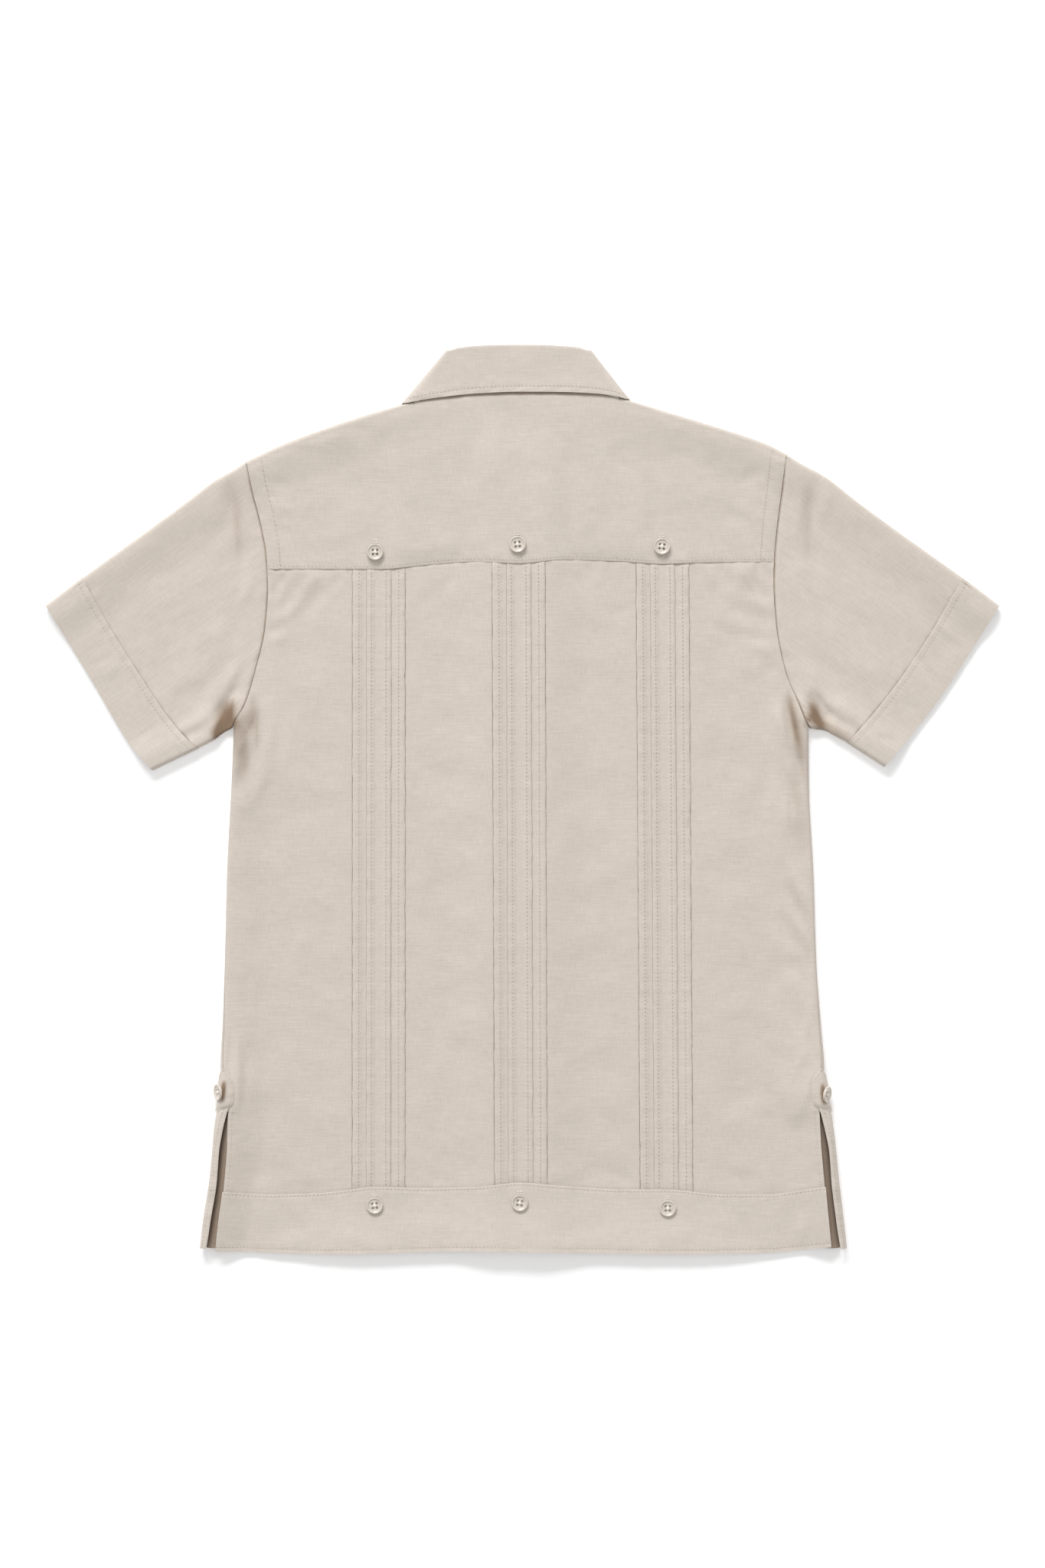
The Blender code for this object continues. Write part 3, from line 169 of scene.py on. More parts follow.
HOLLOWS = creases(
    (-207.6, 52.6, 80.0, 16.0, 9.0, 3.2), (-190.5, 38.0, 96.0, 34.0, 8.0, 1.8),
    (209.6, 56.0, 115.0, 15.0, 8.0, 2.8), (189.4, 40.0, 98.0, 36.0, 7.0, 1.8),
)
BODY_CREASES = creases(
    # fan below the left end of the yoke
    (-160, 142, 58, 22, 4.5, -0.9, 2), (-151, 146, 50, 18, 4.0, 0.7, 1), (-143, 140, 48, 20, 4.0, -0.55),
    (-171, 148, 64, 12, 3.0, -0.8), (-165, 130, 40, 16, 4.0, 0.6), (-130, 152, 62, 9, 3.0, -0.5),
    (-120, 153, 75, 8, 2.6, 0.4), (-172, 120, 24, 10, 2.6, -0.5), (-170, 112, 20, 9, 2.4, 0.4),
    (-52, 150, 60, 12, 3.2, -0.45), (-66, 140, 55, 14, 3.6, -0.35), (40, 152, 115, 10, 3.0, -0.4),
    # streaks running in from the right armhole
    (164, 148, 135, 15, 3.6, -0.8, -1), (156, 155, 128, 13, 3.2, 0.6), (143, 156, 118, 11, 3.2, -0.5),
    (132, 157, 108, 9, 3.0, 0.4), (158, 131, 162, 20, 4.0, -0.7, 2), (166, 138, 158, 13, 3.0, 0.6),
    (150, 116, 165, 26, 5.0, -0.55, 2), (167, 107, 170, 12, 3.2, 0.5), (172, 90, 8, 9, 3.0, -0.45),
    (158, 84, 170, 16, 6.0, -0.35), (72, 132, 14, 12, 3.2, -0.45), (84, 127, 168, 8, 2.4, -0.35),
    # left armpit: deep troughs side by side with ridges between
    (-188, 52, 72, 12, 3.4, -0.5, 1), (-182, 44, 84, 20, 4.0, -0.55, -2), (-191, 30, 78, 16, 3.6, -0.5, 2),
    (-176, 52, 88, 24, 5.0, 0.7, -2), (-187, 40, 80, 11, 2.2, 0.6), (-197, 14, 74, 16, 4.5, -0.5, 2),
    (-184, 8, 62, 22, 6.0, 0.6, 3), (-196, 38, 60, 7, 2.0, 0.7), (-168, 30, 96, 30, 9.0, 0.5),
    # right armpit
    (188, 56, 104, 18, 3.2, -2.0, 1), (191, 46, 106, 22, 3.0, 1.0, 1), (180, 54, 98, 20, 4.5, 0.9),
    (193, 22, 100, 20, 4.0, -1.1, -2), (187, 8, 106, 26, 4.5, -0.9, 3), (193, -12, 104, 24, 4.0, 0.9, 2),
    (180, -4, 100, 28, 7.0, 0.6), (172, 12, 78, 24, 7.0, -0.35),
    # right side drapes
    (186, -58, 112, 22, 6.0, -0.5, 2), (191, -74, 116, 20, 5.0, -0.6, 2), (196, -66, 112, 22, 4.0, 0.5, 2),
    (188, -92, 122, 18, 5.5, -0.5, -2), (198, -98, 110, 18, 3.6, 0.4), (178, -100, 128, 20, 6.0, 0.5),
    (195, -122, 120, 16, 5.0, -0.5), (176, -128, 60, 26, 7.0, -0.4, 3), (196, -150, 80, 24, 5.0, -0.5, 2),
    (203, -172, 100, 16, 4.0, -0.6, 2), (194, -184, 60, 15, 4.0, 0.5, 2), (203, -206, 84, 15, 3.0, -0.7, 2),
    (196, -214, 70, 18, 4.0, 0.5, 2),
    # beside the left patch and low down
    (-204, -176, 88, 18, 3.2, -0.7, -2), (-199, -190, 92, 30, 3.4, 0.9, -3), (-193, -206, 96, 24, 4.0, -0.5, 2),
    (-186, -232, 100, 24, 6.0, 0.35), (-178, -262, 12, 24, 4.0, -0.35), (-60, -264, 70, 9, 3.4, -0.4),
    (66, -262, 162, 20, 4.0, -0.45), (84, -254, 8, 14, 4.0, -0.3), (30, -263, 12, 16, 3.6, 0.3),
    (150, -262, 170, 24, 4.5, -0.35), (-150, -264, 172, 20, 4.0, 0.35),
    # shallow ones on the panels
    (-60, 20, 158, 30, 9.0, -0.3, 5), (-44, -14, 30, 26, 9.0, 0.25), (-150, -10, 20, 34, 10.0, -0.3, 5),
    (40, 60, 150, 30, 10.0, -0.25), (62, -52, 35, 34, 11.0, 0.3, 6), (-165, -110, 76, 44, 9.0, -0.3, 4),
    (148, -20, 80, 40, 10.0, 0.3, 6), (-55, -160, 64, 40, 10.0, -0.28, 6), (50, -190, 122, 36, 10.0, 0.3),
    (140, 40, 60, 30, 9.0, -0.3, 4), (-140, 70, 130, 30, 9.0, 0.3, 4), (152, -210, 30, 30, 9.0, -0.3, 4),
)
PAINTED_FOLD_SHADE = creases(
    # the same columns, with the strength of the painted shade, from 0 to 1, in place of the height
    (-208.0, 53.0, 78, 19, 6.4, 1.25), (-207.5, 50.0, 32, 12, 4.6, 0.8), (-203.6, 60.0, 82, 13, 1.3, 0.3),
    (-188.4, 58.0, 90, 18, 3.6, 0.37), (-197.0, 47.0, 72, 20, 4.6, 0.34), (-194.0, 26.0, 80, 18, 4.2, 0.33),
    (-185.6, 50.0, 88, 15, 1.2, 0.22), (-192.0, 50.0, 60, 9, 1.1, 0.2), (-198.0, 30.0, 78, 20, 3.0, 0.2),
    (191.0, 50.0, 102, 25, 3.4, 0.34), (193.4, 38.0, 100, 36, 5.8, 0.22), (188.2, 64.0, 100, 16, 2.0, 0.35),
    (191.4, 46.0, 103, 10, 1.8, 0.3),
    (191.5, 0.0, 96, 26, 5.0, 0.19), (186.0, -8.0, 92, 16, 1.6, 0.12), (199.0, 55.0, 60, 5, 1.6, 0.7),
    (205.6, 57.6, 112, 12, 4.4, 0.85), (202.0, 66.0, 104, 12, 3.4, 0.35), (214.0, 50.5, 152, 20, 3.6, 0.5),
    (193.0, -72.0, 115, 20, 3.6, 0.08), (190.0, -92.0, 122, 18, 4.0, 0.08),
    # painted shade in the dimples of the sleeve heads and in the cloth drawn up under the yoke
    (-199.6, 194.0, 94, 27, 3.2, 0.27), (199.6, 194.0, 86, 27, 3.2, 0.24), (-155.0, 145.0, 50, 12, 2.4, 0.12),
    (-147.0, 151.0, 48, 9, 2.0, 0.10), (158.0, 150.0, 128, 12, 2.2, 0.10),
    # painted shadow beside the vent buttons, where they stand off the cloth
    (-208.6, -203.2, 86, 8, 1.5, 1.5), (209.6, -205.2, 94, 8, 1.5, 1.5),
)
CUFF_CREASES = creases(
    (-263.5, 46.0, 35, 12, 1.7, -0.5), (-296.0, 96.0, 28, 9, 2.2, -0.3), (-284.0, 92.0, 34, 12, 3.0, 0.25),
    (-318.0, 140.0, 40, 10, 2.6, -0.25), (300.4, 109.7, 147, 13, 1.8, -0.5), (253.3, 42.8, 160, 10, 1.7, -0.45),
    (286.0, 88.0, 132, 9, 1.6, -0.35), (296.0, 118.0, 120, 8, 1.5, 0.3), (270.0, 66.0, 150, 12, 2.6, -0.25),
)
YOKE_CREASES = creases(
    (-170, 222, 152, 12, 4.0, -0.45), (-168, 205, 160, 12, 3.6, 0.4), (-166, 188, 165, 11, 3.4, -0.35),
    (-152, 246, 155, 20, 5.0, -0.4), (-110, 224, 170, 36, 11.0, -0.35, 5), (-58, 246, 20, 30, 10.0, 0.3),
    (10, 226, 12, 44, 12.0, -0.3, 6), (80, 240, 162, 34, 10.0, -0.35, 5), (122, 214, 172, 28, 9.0, 0.3),
    (152, 196, 158, 16, 6.0, -0.4), (160, 226, 30, 14, 4.0, -0.4), (-128, 184, 10, 28, 9.0, 0.3),
    (-36, 192, 4, 34, 9.0, -0.25), (58, 190, 172, 30, 9.0, 0.25), (-118, 262, 158, 22, 5.0, -0.4),
)
HEM_CREASES = creases(
    (-160, -300, 8, 26, 5.0, -0.35), (-60, -298, 176, 30, 6.0, 0.3), (46, -300, 6, 30, 6.0, -0.35),
    (150, -304, 172, 26, 5.0, -0.3), (196, -300, 60, 14, 4.0, 0.35), (-200, -296, 110, 14, 4.0, 0.35),
    (108, -305, 10, 16, 4.0, 0.3), (-120, -306, 170, 18, 4.0, 0.3),
)
SLEEVE_CREASES = {
    "left": creases(
        (-201, 206, 96, 24, 4.6, -1.3, 2), (-193, 200, 98, 24, 3.6, 0.8, 2), (-213, 206, 104, 20, 5.0, 0.6, 2),
        (-196, 168, 88, 18, 4.0, -0.6), (-192, 146, 70, 14, 3.6, 0.5), (-208, 176, 60, 20, 6.0, 0.35),
        (-206, 68, 60, 15, 4.0, -1.8, 1), (-213, 60, 44, 13, 3.6, -1.4, 1), (-203, 84, 66, 18, 4.2, 0.9, 2),
        (-222, 56, 30, 18, 4.0, 0.8, 2), (-233, 44, 28, 18, 3.8, -1.0, 2), (-240, 54, 36, 18, 4.6, -0.5),
        (-216, 84, 46, 26, 6.0, -0.5, 3), (-236, 82, 28, 26, 7.0, 0.45, 3), (-228, 118, 34, 34, 9.0, -0.3, 4),
        (-262, 130, 30, 34, 9.0, 0.2, 4), (-276, 154, 28, 24, 6.0, -0.15), (-245, 176, 36, 30, 8.0, -0.18, 4),
        (-200, 118, 76, 18, 5.0, -0.4),
    ),
    "right": creases(
        (201, 204, 82, 26, 4.6, -1.2, -2), (193, 200, 84, 26, 3.6, 0.7, -2), (212, 208, 76, 20, 5.0, 0.6, -2),
        (206, 168, 96, 20, 5.0, -0.5), (190, 150, 100, 16, 3.6, 0.45), (216, 178, 124, 20, 6.0, 0.35),
        (209, 66, 122, 14, 4.0, -1.9, -1), (217, 58, 138, 14, 3.8, -1.5, -1), (203, 82, 112, 18, 4.2, 0.9, -2),
        (224, 64, 146, 16, 4.0, 0.8, -2), (232, 50, 150, 15, 3.6, -0.9, -2), (242, 60, 146, 18, 5.0, -0.4),
        (216, 90, 134, 26, 6.0, -0.45, -3), (236, 92, 150, 26, 7.0, 0.4, -3), (232, 124, 146, 34, 9.0, -0.3, -4),
        (262, 130, 148, 34, 9.0, 0.2, -4), (276, 154, 150, 24, 6.0, -0.15), (246, 178, 142, 30, 8.0, -0.18, -4),
    ),
}


# Curves and heights


def smooth(t):
    t = np.clip(t, 0.0, 1.0)
    return t * t * (3.0 - 2.0 * t)


def falloff(distance, reach):
    """1 up to a distance of 0, and nothing from the reach on."""
    return 1.0 - smooth(distance / reach)


def ridge(distance, top, width):
    return np.exp(-((distance - top) / width) ** 2)


def sign(side):
    return -1.0 if side == "left" else 1.0


def spline(at, values, where):
    """Rows of values read at any place by a smooth curve that never runs past its points."""
    at, values = np.asarray(at, float), np.asarray(values, float)
    shape = np.shape(where)
    where = np.clip(np.ravel(where), at[0], at[-1])
    extra = (1,) * (values.ndim - 1)
    step = np.diff(at).reshape((-1,) + extra)
    slope = np.diff(values, axis=0) / step
    bend = np.zeros_like(values)
    if len(at) > 2:
        before, after = slope[:-1], slope[1:]
        w1, w2 = 2 * step[1:] + step[:-1], step[1:] + 2 * step[:-1]
        same = before * after > 1e-12
        a, b = np.where(same, before, 1.0), np.where(same, after, 1.0)
        bend[1:-1] = np.where(same, (w1 + w2) / (w1 / a + w2 / b), 0.0)
    bend[0], bend[-1] = slope[0], slope[-1]
    k = np.clip(np.searchsorted(at, where, side="right") - 1, 0, len(at) - 2)
    h = np.diff(at)[k].reshape((-1,) + extra)
    t = ((where - at[k]) / np.diff(at)[k]).reshape((-1,) + extra)
    found = (values[k] * (1 + 2 * t) * (1 - t) ** 2 + bend[k] * h * t * (1 - t) ** 2
             + values[k + 1] * t * t * (3 - 2 * t) + bend[k + 1] * h * t * t * (t - 1))
    return found.reshape(shape + values.shape[1:])


def side_at(column, level):
    return spline(-SIDES[:, 0], SIDES[:, SIDE_COLUMN[column]], -np.asarray(level, float))


def armhole(side, level):
    return spline(-ARMHOLES[:, 0], ARMHOLES[:, 1 if side == "left" else 2], -np.asarray(level, float))


def edge_y(pairs, x):
    return spline([p[0] for p in pairs], [p[1] for p in pairs], x)


def placket(x):
    return falloff(np.abs(x - CENTRE) - PLACKET_FLAT, PLACKET_FADE)


def over_leaf(x, y):
    across = falloff(np.abs(x - CENTRE) - LEAF_REACH, LEAF_FADE)
    return across * smooth((y - LEAF_TOP + LEAF_FADE) / LEAF_FADE)


def front_z(side, x, y):
    lift = PLACKET_LIFT + (LAYER if side == "right" else 0.0)
    return FLOOR_CLOTH + np.maximum(lift * placket(x), LAYER * over_leaf(x, y))


def fold_lines():
    lines = []
    for side in ("left", "right"):
        lines += [np.array(SHOULDERS[side]), np.array(UNDERARMS[side])]
        lines.append(SIDES[:, (SIDE_COLUMN[side], 0, 3)])
    return lines


FOLDS = fold_lines()


def nearest_on(line, x, y):
    """Distance from a fold line, and the fold's height at the nearest point."""
    best, height = np.full(np.shape(x), 1e9), np.zeros(np.shape(x))
    for (ax, ay, ah), (bx, by, bh) in zip(line, line[1:]):
        dx, dy = bx - ax, by - ay
        t = np.clip(((x - ax) * dx + (y - ay) * dy) / (dx * dx + dy * dy), 0.0, 1.0)
        distance = np.hypot(x - ax - t * dx, y - ay - t * dy)
        nearer = distance < best
        best, height = np.where(nearer, distance, best), np.where(nearer, ah + t * (bh - ah), height)
    return best, height


def crease_frame(crease, x, y):
    turn = math.radians(crease.angle)
    dx, dy = x - crease.x, y - crease.y
    along = (dx * math.cos(turn) + dy * math.sin(turn)) / crease.length
    across = (-dx * math.sin(turn) + dy * math.cos(turn) + crease.bow * (along ** 2 - 0.4)) / crease.width
    return along, across


def hollow_depth(x, y):
    depth = 0.0
    for hollow in HOLLOWS:
        along, across = crease_frame(hollow, x, y)
        depth = depth + hollow.height * (1.0 - smooth(np.hypot(along, across)))
    return depth


def creased(laid, x, y):
    """Rise and fall of listed creases: each fades to nothing at its ends and has one side steeper."""
    total = np.zeros(np.shape(x))
    for crease in laid:
        along, across = crease_frame(crease, x, y)
        across = np.where(across > 0, across * 0.8, across * 1.25)
        fade = np.clip(1.0 - along ** 2, 0.0, None) ** 1.5
        total += CREASE_HEIGHT * crease.height * fade * np.exp(-across ** 2)
    return total


def shaded(x, y):
    """Painted shade, from 0 to 1, in the deep folds about the armpits and the other places of the table, where little
    light comes.
    """
    total = np.zeros(np.shape(x))
    for crease in PAINTED_FOLD_SHADE:
        along, across = crease_frame(crease, x, y)
        total += crease.height * np.clip(1.0 - along ** 2, 0.0, None) ** 0.8 * np.exp(-across ** 2)
    return np.clip(total, 0.0, 1.0)


def ripple(x, y, length, start):
    """An even, wandering rise and fall between about -1 and 1, the same on every run."""
    total = 0.0
    for k in range(6):
        turn = 2.399963 * (k + start)
        size = 2 * math.pi / length * (0.72 + 0.13 * k)
        total = total + np.sin(size * (x * math.cos(turn) + y * math.sin(turn)) + 1.7 * k * k + 2.3 * start)
    return total / 3.2


def top_z(x, y):
    """Middle height of the uppermost cloth: it lies on the fronts and stands proud along the folds."""
    x, y = np.asarray(x, float), np.asarray(y, float)
    opening = smooth((y - PLACKET_TOP) / NECK_FADE)
    under = (PLACKET_LIFT + LAYER - 0.4) * placket(x) * (1.0 - opening)
    lowest = TOP_CLOTH + np.maximum(under, LAYER * over_leaf(x, y))
    loft = np.zeros(x.shape)
    for line in FOLDS:
        distance, height = nearest_on(line, x, y)
        rise = height - WALL / 2 - TOP_CLOTH
        loft = np.maximum(loft, rise * falloff(distance - height / 2, LOFT_FADE))
    hollow = hollow_depth(x, y)
    return np.maximum(lowest, np.maximum(TOP_CLOTH + loft - hollow, lowest + loft * 0.5 - hollow))


def band_lift(x, y):
    """Lift of the yoke and the hem band over the ends of the tucks."""
    away = np.where(y > 0, y - edge_y(YOKE_EDGE, x), edge_y(HEM_SEAM, x) - y)
    lift = np.zeros(np.shape(x))
    for top, bottom in BANDS:
        middle = np.where(y > 0, top, bottom)
        lift += falloff(np.abs(x - middle) - 14.0, 12.0) * falloff(away, 22.0)
    return lift


# Building a sheet


Patch = namedtuple("Patch", "points uv off run deep")


def lengths_along(points, axis):
    """Distance run along a grid of points, by row or by column."""
    step = np.linalg.norm(np.diff(points, axis=axis), axis=2)
    zero = np.zeros((1, points.shape[1]) if axis == 0 else (points.shape[0], 1))
    return np.concatenate([zero, np.cumsum(step, axis=axis)], axis=axis)


def patch(points, off=None, run=None, u=None, v=None, deep=None):
    """A grid with its cloth coordinates, the distance off the nearest seam or stitching and along it, and
    the painted shade, from 0 to 1, that darkens its colour in folds, gaps and seams."""
    if u is None:
        u = lengths_along(points, 1)
        u = u - u[:, u.shape[1] // 2][:, None]
    if v is None:
        v = -lengths_along(points, 0)
    blank = np.full(points.shape[:2], FAR)
    deep = shaded(points[..., 0], points[..., 1]) if deep is None else deep
    return Patch(points, np.stack([u, v], axis=2), blank if off is None else off, blank if run is None else run,
                 np.broadcast_to(deep, blank.shape))


def linked(name, data):
    """A new object in the scene for a mesh, a light or a camera."""
    made = bpy.data.objects.new(name, data)
    bpy.context.scene.collection.objects.link(made)
    return made


def sheet_mesh(name, patches):
    """One mesh of all the patches, joined where their edges meet, with their values kept on it."""
    faces, start = [], 0
    for p in patches:
        rows, columns = p.points.shape[:2]
        index = start + np.arange(rows * columns).reshape(rows, columns)
        faces.append(np.stack([index[:-1, :-1], index[1:, :-1], index[1:, 1:], index[:-1, 1:]], axis=2).reshape(-1, 4))
        start += rows * columns
    faces = np.concatenate(faces)
    points = np.concatenate([p.points.reshape(-1, 3) for p in patches])
    uvs = np.concatenate([p.uv.reshape(-1, 2) for p in patches])
    _, first, merged = np.unique(np.round(points, 2), axis=0, return_index=True, return_inverse=True)
    merged = merged.reshape(-1)
    kept, loops = [], []
    for face, corners in zip(faces.tolist(), merged[faces].tolist()):
        own = [k for k in range(4) if corners[k] not in corners[:k]]
        if len(own) > 2:
            kept.append([corners[k] for k in own])
            loops += [face[k] for k in own]
    data = bpy.data.meshes.new(name)
    data.from_pydata((points[first] * MM).tolist(), [], kept)
    layer = data.uv_layers.new(name="cloth")
    layer.data.foreach_set("uv", (uvs[loops] * MM).astype(np.float32).ravel())
    for title, field in (("seam_off", "off"), ("seam_run", "run"), ("painted_shade_mask", "deep")):
        values = np.concatenate([getattr(p, field).ravel() for p in patches])
        attribute = data.attributes.new(title, "FLOAT", "POINT")
        attribute.data.foreach_set("value", values[first].astype(np.float32))
    return data


def sheet(name, patches, material, shell=SHELL):
    """A finished piece of cloth that stands for the CAD node of the same name."""
    data = sheet_mesh(name + "_cloth", patches)
    data.materials.append(material)
    data.shade_smooth()
    piece = linked(name + "_cloth", data)
    wall = piece.modifiers.new("Wall", "SOLIDIFY")
    wall.thickness, wall.offset = shell * MM, 0.0
    bpy.ops.object.select_all(action="DESELECT")
    bpy.context.view_layer.objects.active = piece
    bpy.ops.object.modifier_apply(modifier="Wall")
    piece.data.set_sharp_from_angle(angle=math.radians(60.0))
    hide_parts(name)
    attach(piece, "root")


# Stitching


THREADS = {}
THREAD_SIDES = 6
# one stitch, dipping into the cloth at both ends: place along it, radius and height of each ring
THREAD_RINGS = ((-0.95, 0.06, -0.14), (-0.55, 0.14, 0.05), (0.55, 0.14, 0.05), (0.95, 0.06, -0.14))


def point_at(distance, run, line):
    """The point of a line of points where the run along it comes to a distance."""
    return [np.interp(distance, run, line[:, c]) for c in range(3)]


def stitch_line(group, path, up=(0, 0, 1), proud=SHELL / 2, pitch=STITCH):
    """Stitches laid along a line of points on the cloth, one after another."""
    path = np.asarray(path, float)
    run = np.concatenate([[0.0], np.cumsum(np.linalg.norm(np.diff(path, axis=0), axis=1))])
    count = int(run[-1] / pitch)
    if count < 1:
        return
    spots = (np.arange(count) + 0.5) * (run[-1] / count)
    here, ahead, behind = (np.stack([np.interp(spots + shift, run, path[:, k]) for k in range(3)], axis=1)
                           for shift in (0.0, 0.4, -0.4))
    way = ahead - behind
    way /= np.linalg.norm(way, axis=1)[:, None]
    up = np.broadcast_to(np.asarray(up, float), way.shape)
    across = np.cross(way, up)
    across /= np.linalg.norm(across, axis=1)[:, None]
    up = np.cross(across, way)
    rings = []
    for shift, radius, height in THREAD_RINGS:
        for k in range(THREAD_SIDES):
            a = 2 * math.pi * k / THREAD_SIDES
            rings.append(here + way * shift + across * (radius * math.cos(a))
                         + up * (proud + height + radius * math.sin(a)))
    THREADS.setdefault(group, []).append(np.stack(rings, axis=1))


def lay_threads():
    """Each group of stitching becomes one joined mesh."""
    sides, count = THREAD_SIDES, len(THREAD_RINGS)
    faces = [tuple(range(sides))[::-1], tuple(range((count - 1) * sides, count * sides))]
    for r in range(count - 1):
        for k in range(sides):
            after = (k + 1) % sides
            faces.append((r * sides + k, r * sides + after, (r + 1) * sides + after, (r + 1) * sides + k))
    for group, runs in THREADS.items():
        stitches = np.concatenate(runs)
        points = stitches.reshape(-1, 3) * MM
        each = stitches.shape[1]
        all_faces = [tuple(each * n + k for k in face) for n in range(len(stitches)) for face in faces]
        data = bpy.data.meshes.new(group)
        data.from_pydata(points.tolist(), [], all_faces)
        data.materials.append(BRIGHT_THREAD if group == "bartacks" else THREAD)
        work = bmesh.new()
        work.from_mesh(data)
        bmesh.ops.recalc_face_normals(work, faces=work.faces[:])
        work.to_mesh(data)
        work.free()
        data.shade_smooth()
        piece = linked(group, data)
        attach(piece, "root")


# Materials


def group_tree(name, ins, outs):
    tree = bpy.data.node_groups.new(name, "ShaderNodeTree")
    for title, kind in ins:
        tree.interface.new_socket(name=title, in_out="INPUT", socket_type=kind)
    for title, kind in outs:
        tree.interface.new_socket(name=title, in_out="OUTPUT", socket_type=kind)
    return tree, tree.nodes.new("NodeGroupInput"), tree.nodes.new("NodeGroupOutput")


def math_node(tree, operation, a, b=None, c=None):
    node = tree.nodes.new("ShaderNodeMath")
    node.operation = operation
    for socket, value in zip(node.inputs, (a, b, c)):
        if value is None:
            continue
        if isinstance(value, (int, float)):
            socket.default_value = value
        else:
            tree.links.new(value, socket)
    return node.outputs[0]


def noise(tree, vector, scale, detail=2.0, rough=0.5):
    """Noise stretched by three scales, in cells to the unit of the vector, about 0."""
    mapping = tree.nodes.new("ShaderNodeMapping")
    mapping.inputs["Scale"].default_value = scale
    tree.links.new(vector, mapping.inputs["Vector"])
    made = tree.nodes.new("ShaderNodeTexNoise")
    made.inputs["Scale"].default_value = 1.0
    made.inputs["Detail"].default_value = detail
    made.inputs["Roughness"].default_value = rough
    tree.links.new(mapping.outputs[0], made.inputs["Vector"])
    return math_node(tree, "SUBTRACT", made.outputs[0], 0.5)


def woven_threads():
    """Slubby plain weave: streaks along both threads, soft clouds of tone, and the threads' height."""
    tree, start, end = group_tree("woven_threads", [("Cloth", "NodeSocketVector")],
                                  [("Tone", "NodeSocketFloat"), ("Height", "NodeSocketFloat")])
    cloth = start.outputs["Cloth"]
    weft, warp, slub_weft, slub_warp = (noise(tree, cloth, (*cells, 1.0)) for cells in (
        (130.0, 1700.0), (1700.0, 150.0), (48.0, 700.0), (700.0, 60.0)))
    cloud = noise(tree, cloth, (60.0, 70.0, 1.0), 3.0, 0.6)
    wide = noise(tree, cloth, (16.0, 13.0, 1.0))
    fine = math_node(tree, "ADD", weft, warp)
    slubs = math_node(tree, "ADD", slub_weft, slub_warp)
    tone = 1.0
    for part, share in ((fine, 0.20), (slub_weft, 0.14), (slub_warp, 0.06), (cloud, 0.10), (wide, 0.04)):
        tone = math_node(tree, "MULTIPLY_ADD", part, share, tone)
    height = math_node(tree, "MULTIPLY_ADD", slubs, 0.9, fine)
    tree.links.new(tone, end.inputs["Tone"])
    tree.links.new(height, end.inputs["Height"])
    return tree


def seam_marks():
    """Dimples at each stitch of a line of stitching, and the puckers that it draws up beside it. The dimples are
    pressed in by bump, and their shade is painted into the colour.
    """
    tree, start, end = group_tree("seam_marks", [("Off", "NodeSocketFloat"), ("Run", "NodeSocketFloat")],
                                  [("HoleShade", "NodeSocketFloat"), ("Height", "NodeSocketFloat")])
    off, run = start.outputs["Off"], start.outputs["Run"]
    away = math_node(tree, "ABSOLUTE", off)
    near = math_node(tree, "SUBTRACT", 1.0, math_node(tree, "DIVIDE", away, 0.6))
    near = math_node(tree, "MAXIMUM", near, 0.0)
    turn = math_node(tree, "MULTIPLY", run, 2 * math.pi / STITCH)
    beat = math_node(tree, "MULTIPLY_ADD", math_node(tree, "COSINE", turn), 0.75, 0.25)
    dimple_and_shade = math_node(tree, "MULTIPLY", near, math_node(tree, "MAXIMUM", beat, 0.12))
    place = tree.nodes.new("ShaderNodeCombineXYZ")
    tree.links.new(run, place.inputs[0])
    tree.links.new(off, place.inputs[1])
    pucker = noise(tree, place.outputs[0], (0.17, 0.07, 1.0))
    fade = math_node(tree, "MAXIMUM", math_node(tree, "SUBTRACT", 1.0, math_node(tree, "DIVIDE", away, 6.5)), 0.0)
    pucker = math_node(tree, "MULTIPLY", pucker, math_node(tree, "MULTIPLY", fade, 0.65))
    height = math_node(tree, "MULTIPLY_ADD", dimple_and_shade, -0.16, pucker)
    tree.links.new(dimple_and_shade, end.inputs["HoleShade"])
    tree.links.new(height, end.inputs["Height"])
    return tree


def bare_material(name, roughness):
    made = bpy.data.materials.new(name)
    made.use_nodes = True
    shader = made.node_tree.nodes["Principled BSDF"]
    shader.inputs["Roughness"].default_value = roughness
    return made, made.node_tree, shader


def scaled_colour(tree, colour, factor):
    """A colour multiplied by a value that changes over the surface."""
    mix = tree.nodes.new("ShaderNodeVectorMath")
    mix.operation = "SCALE"
    mix.inputs[0].default_value = colour
    tree.links.new(factor, mix.inputs["Scale"])
    return mix.outputs[0]


def stored(tree, title):
    """A value kept at each point of the mesh."""
    node = tree.nodes.new("ShaderNodeAttribute")
    node.attribute_name = title
    return node.outputs["Fac"]


def add_relief(tree, shader, height, distance):
    bump = tree.nodes.new("ShaderNodeBump")
    bump.inputs["Strength"].default_value = 1.0
    bump.inputs["Distance"].default_value = distance
    tree.links.new(height, bump.inputs["Height"])
    tree.links.new(bump.outputs[0], shader.inputs["Normal"])


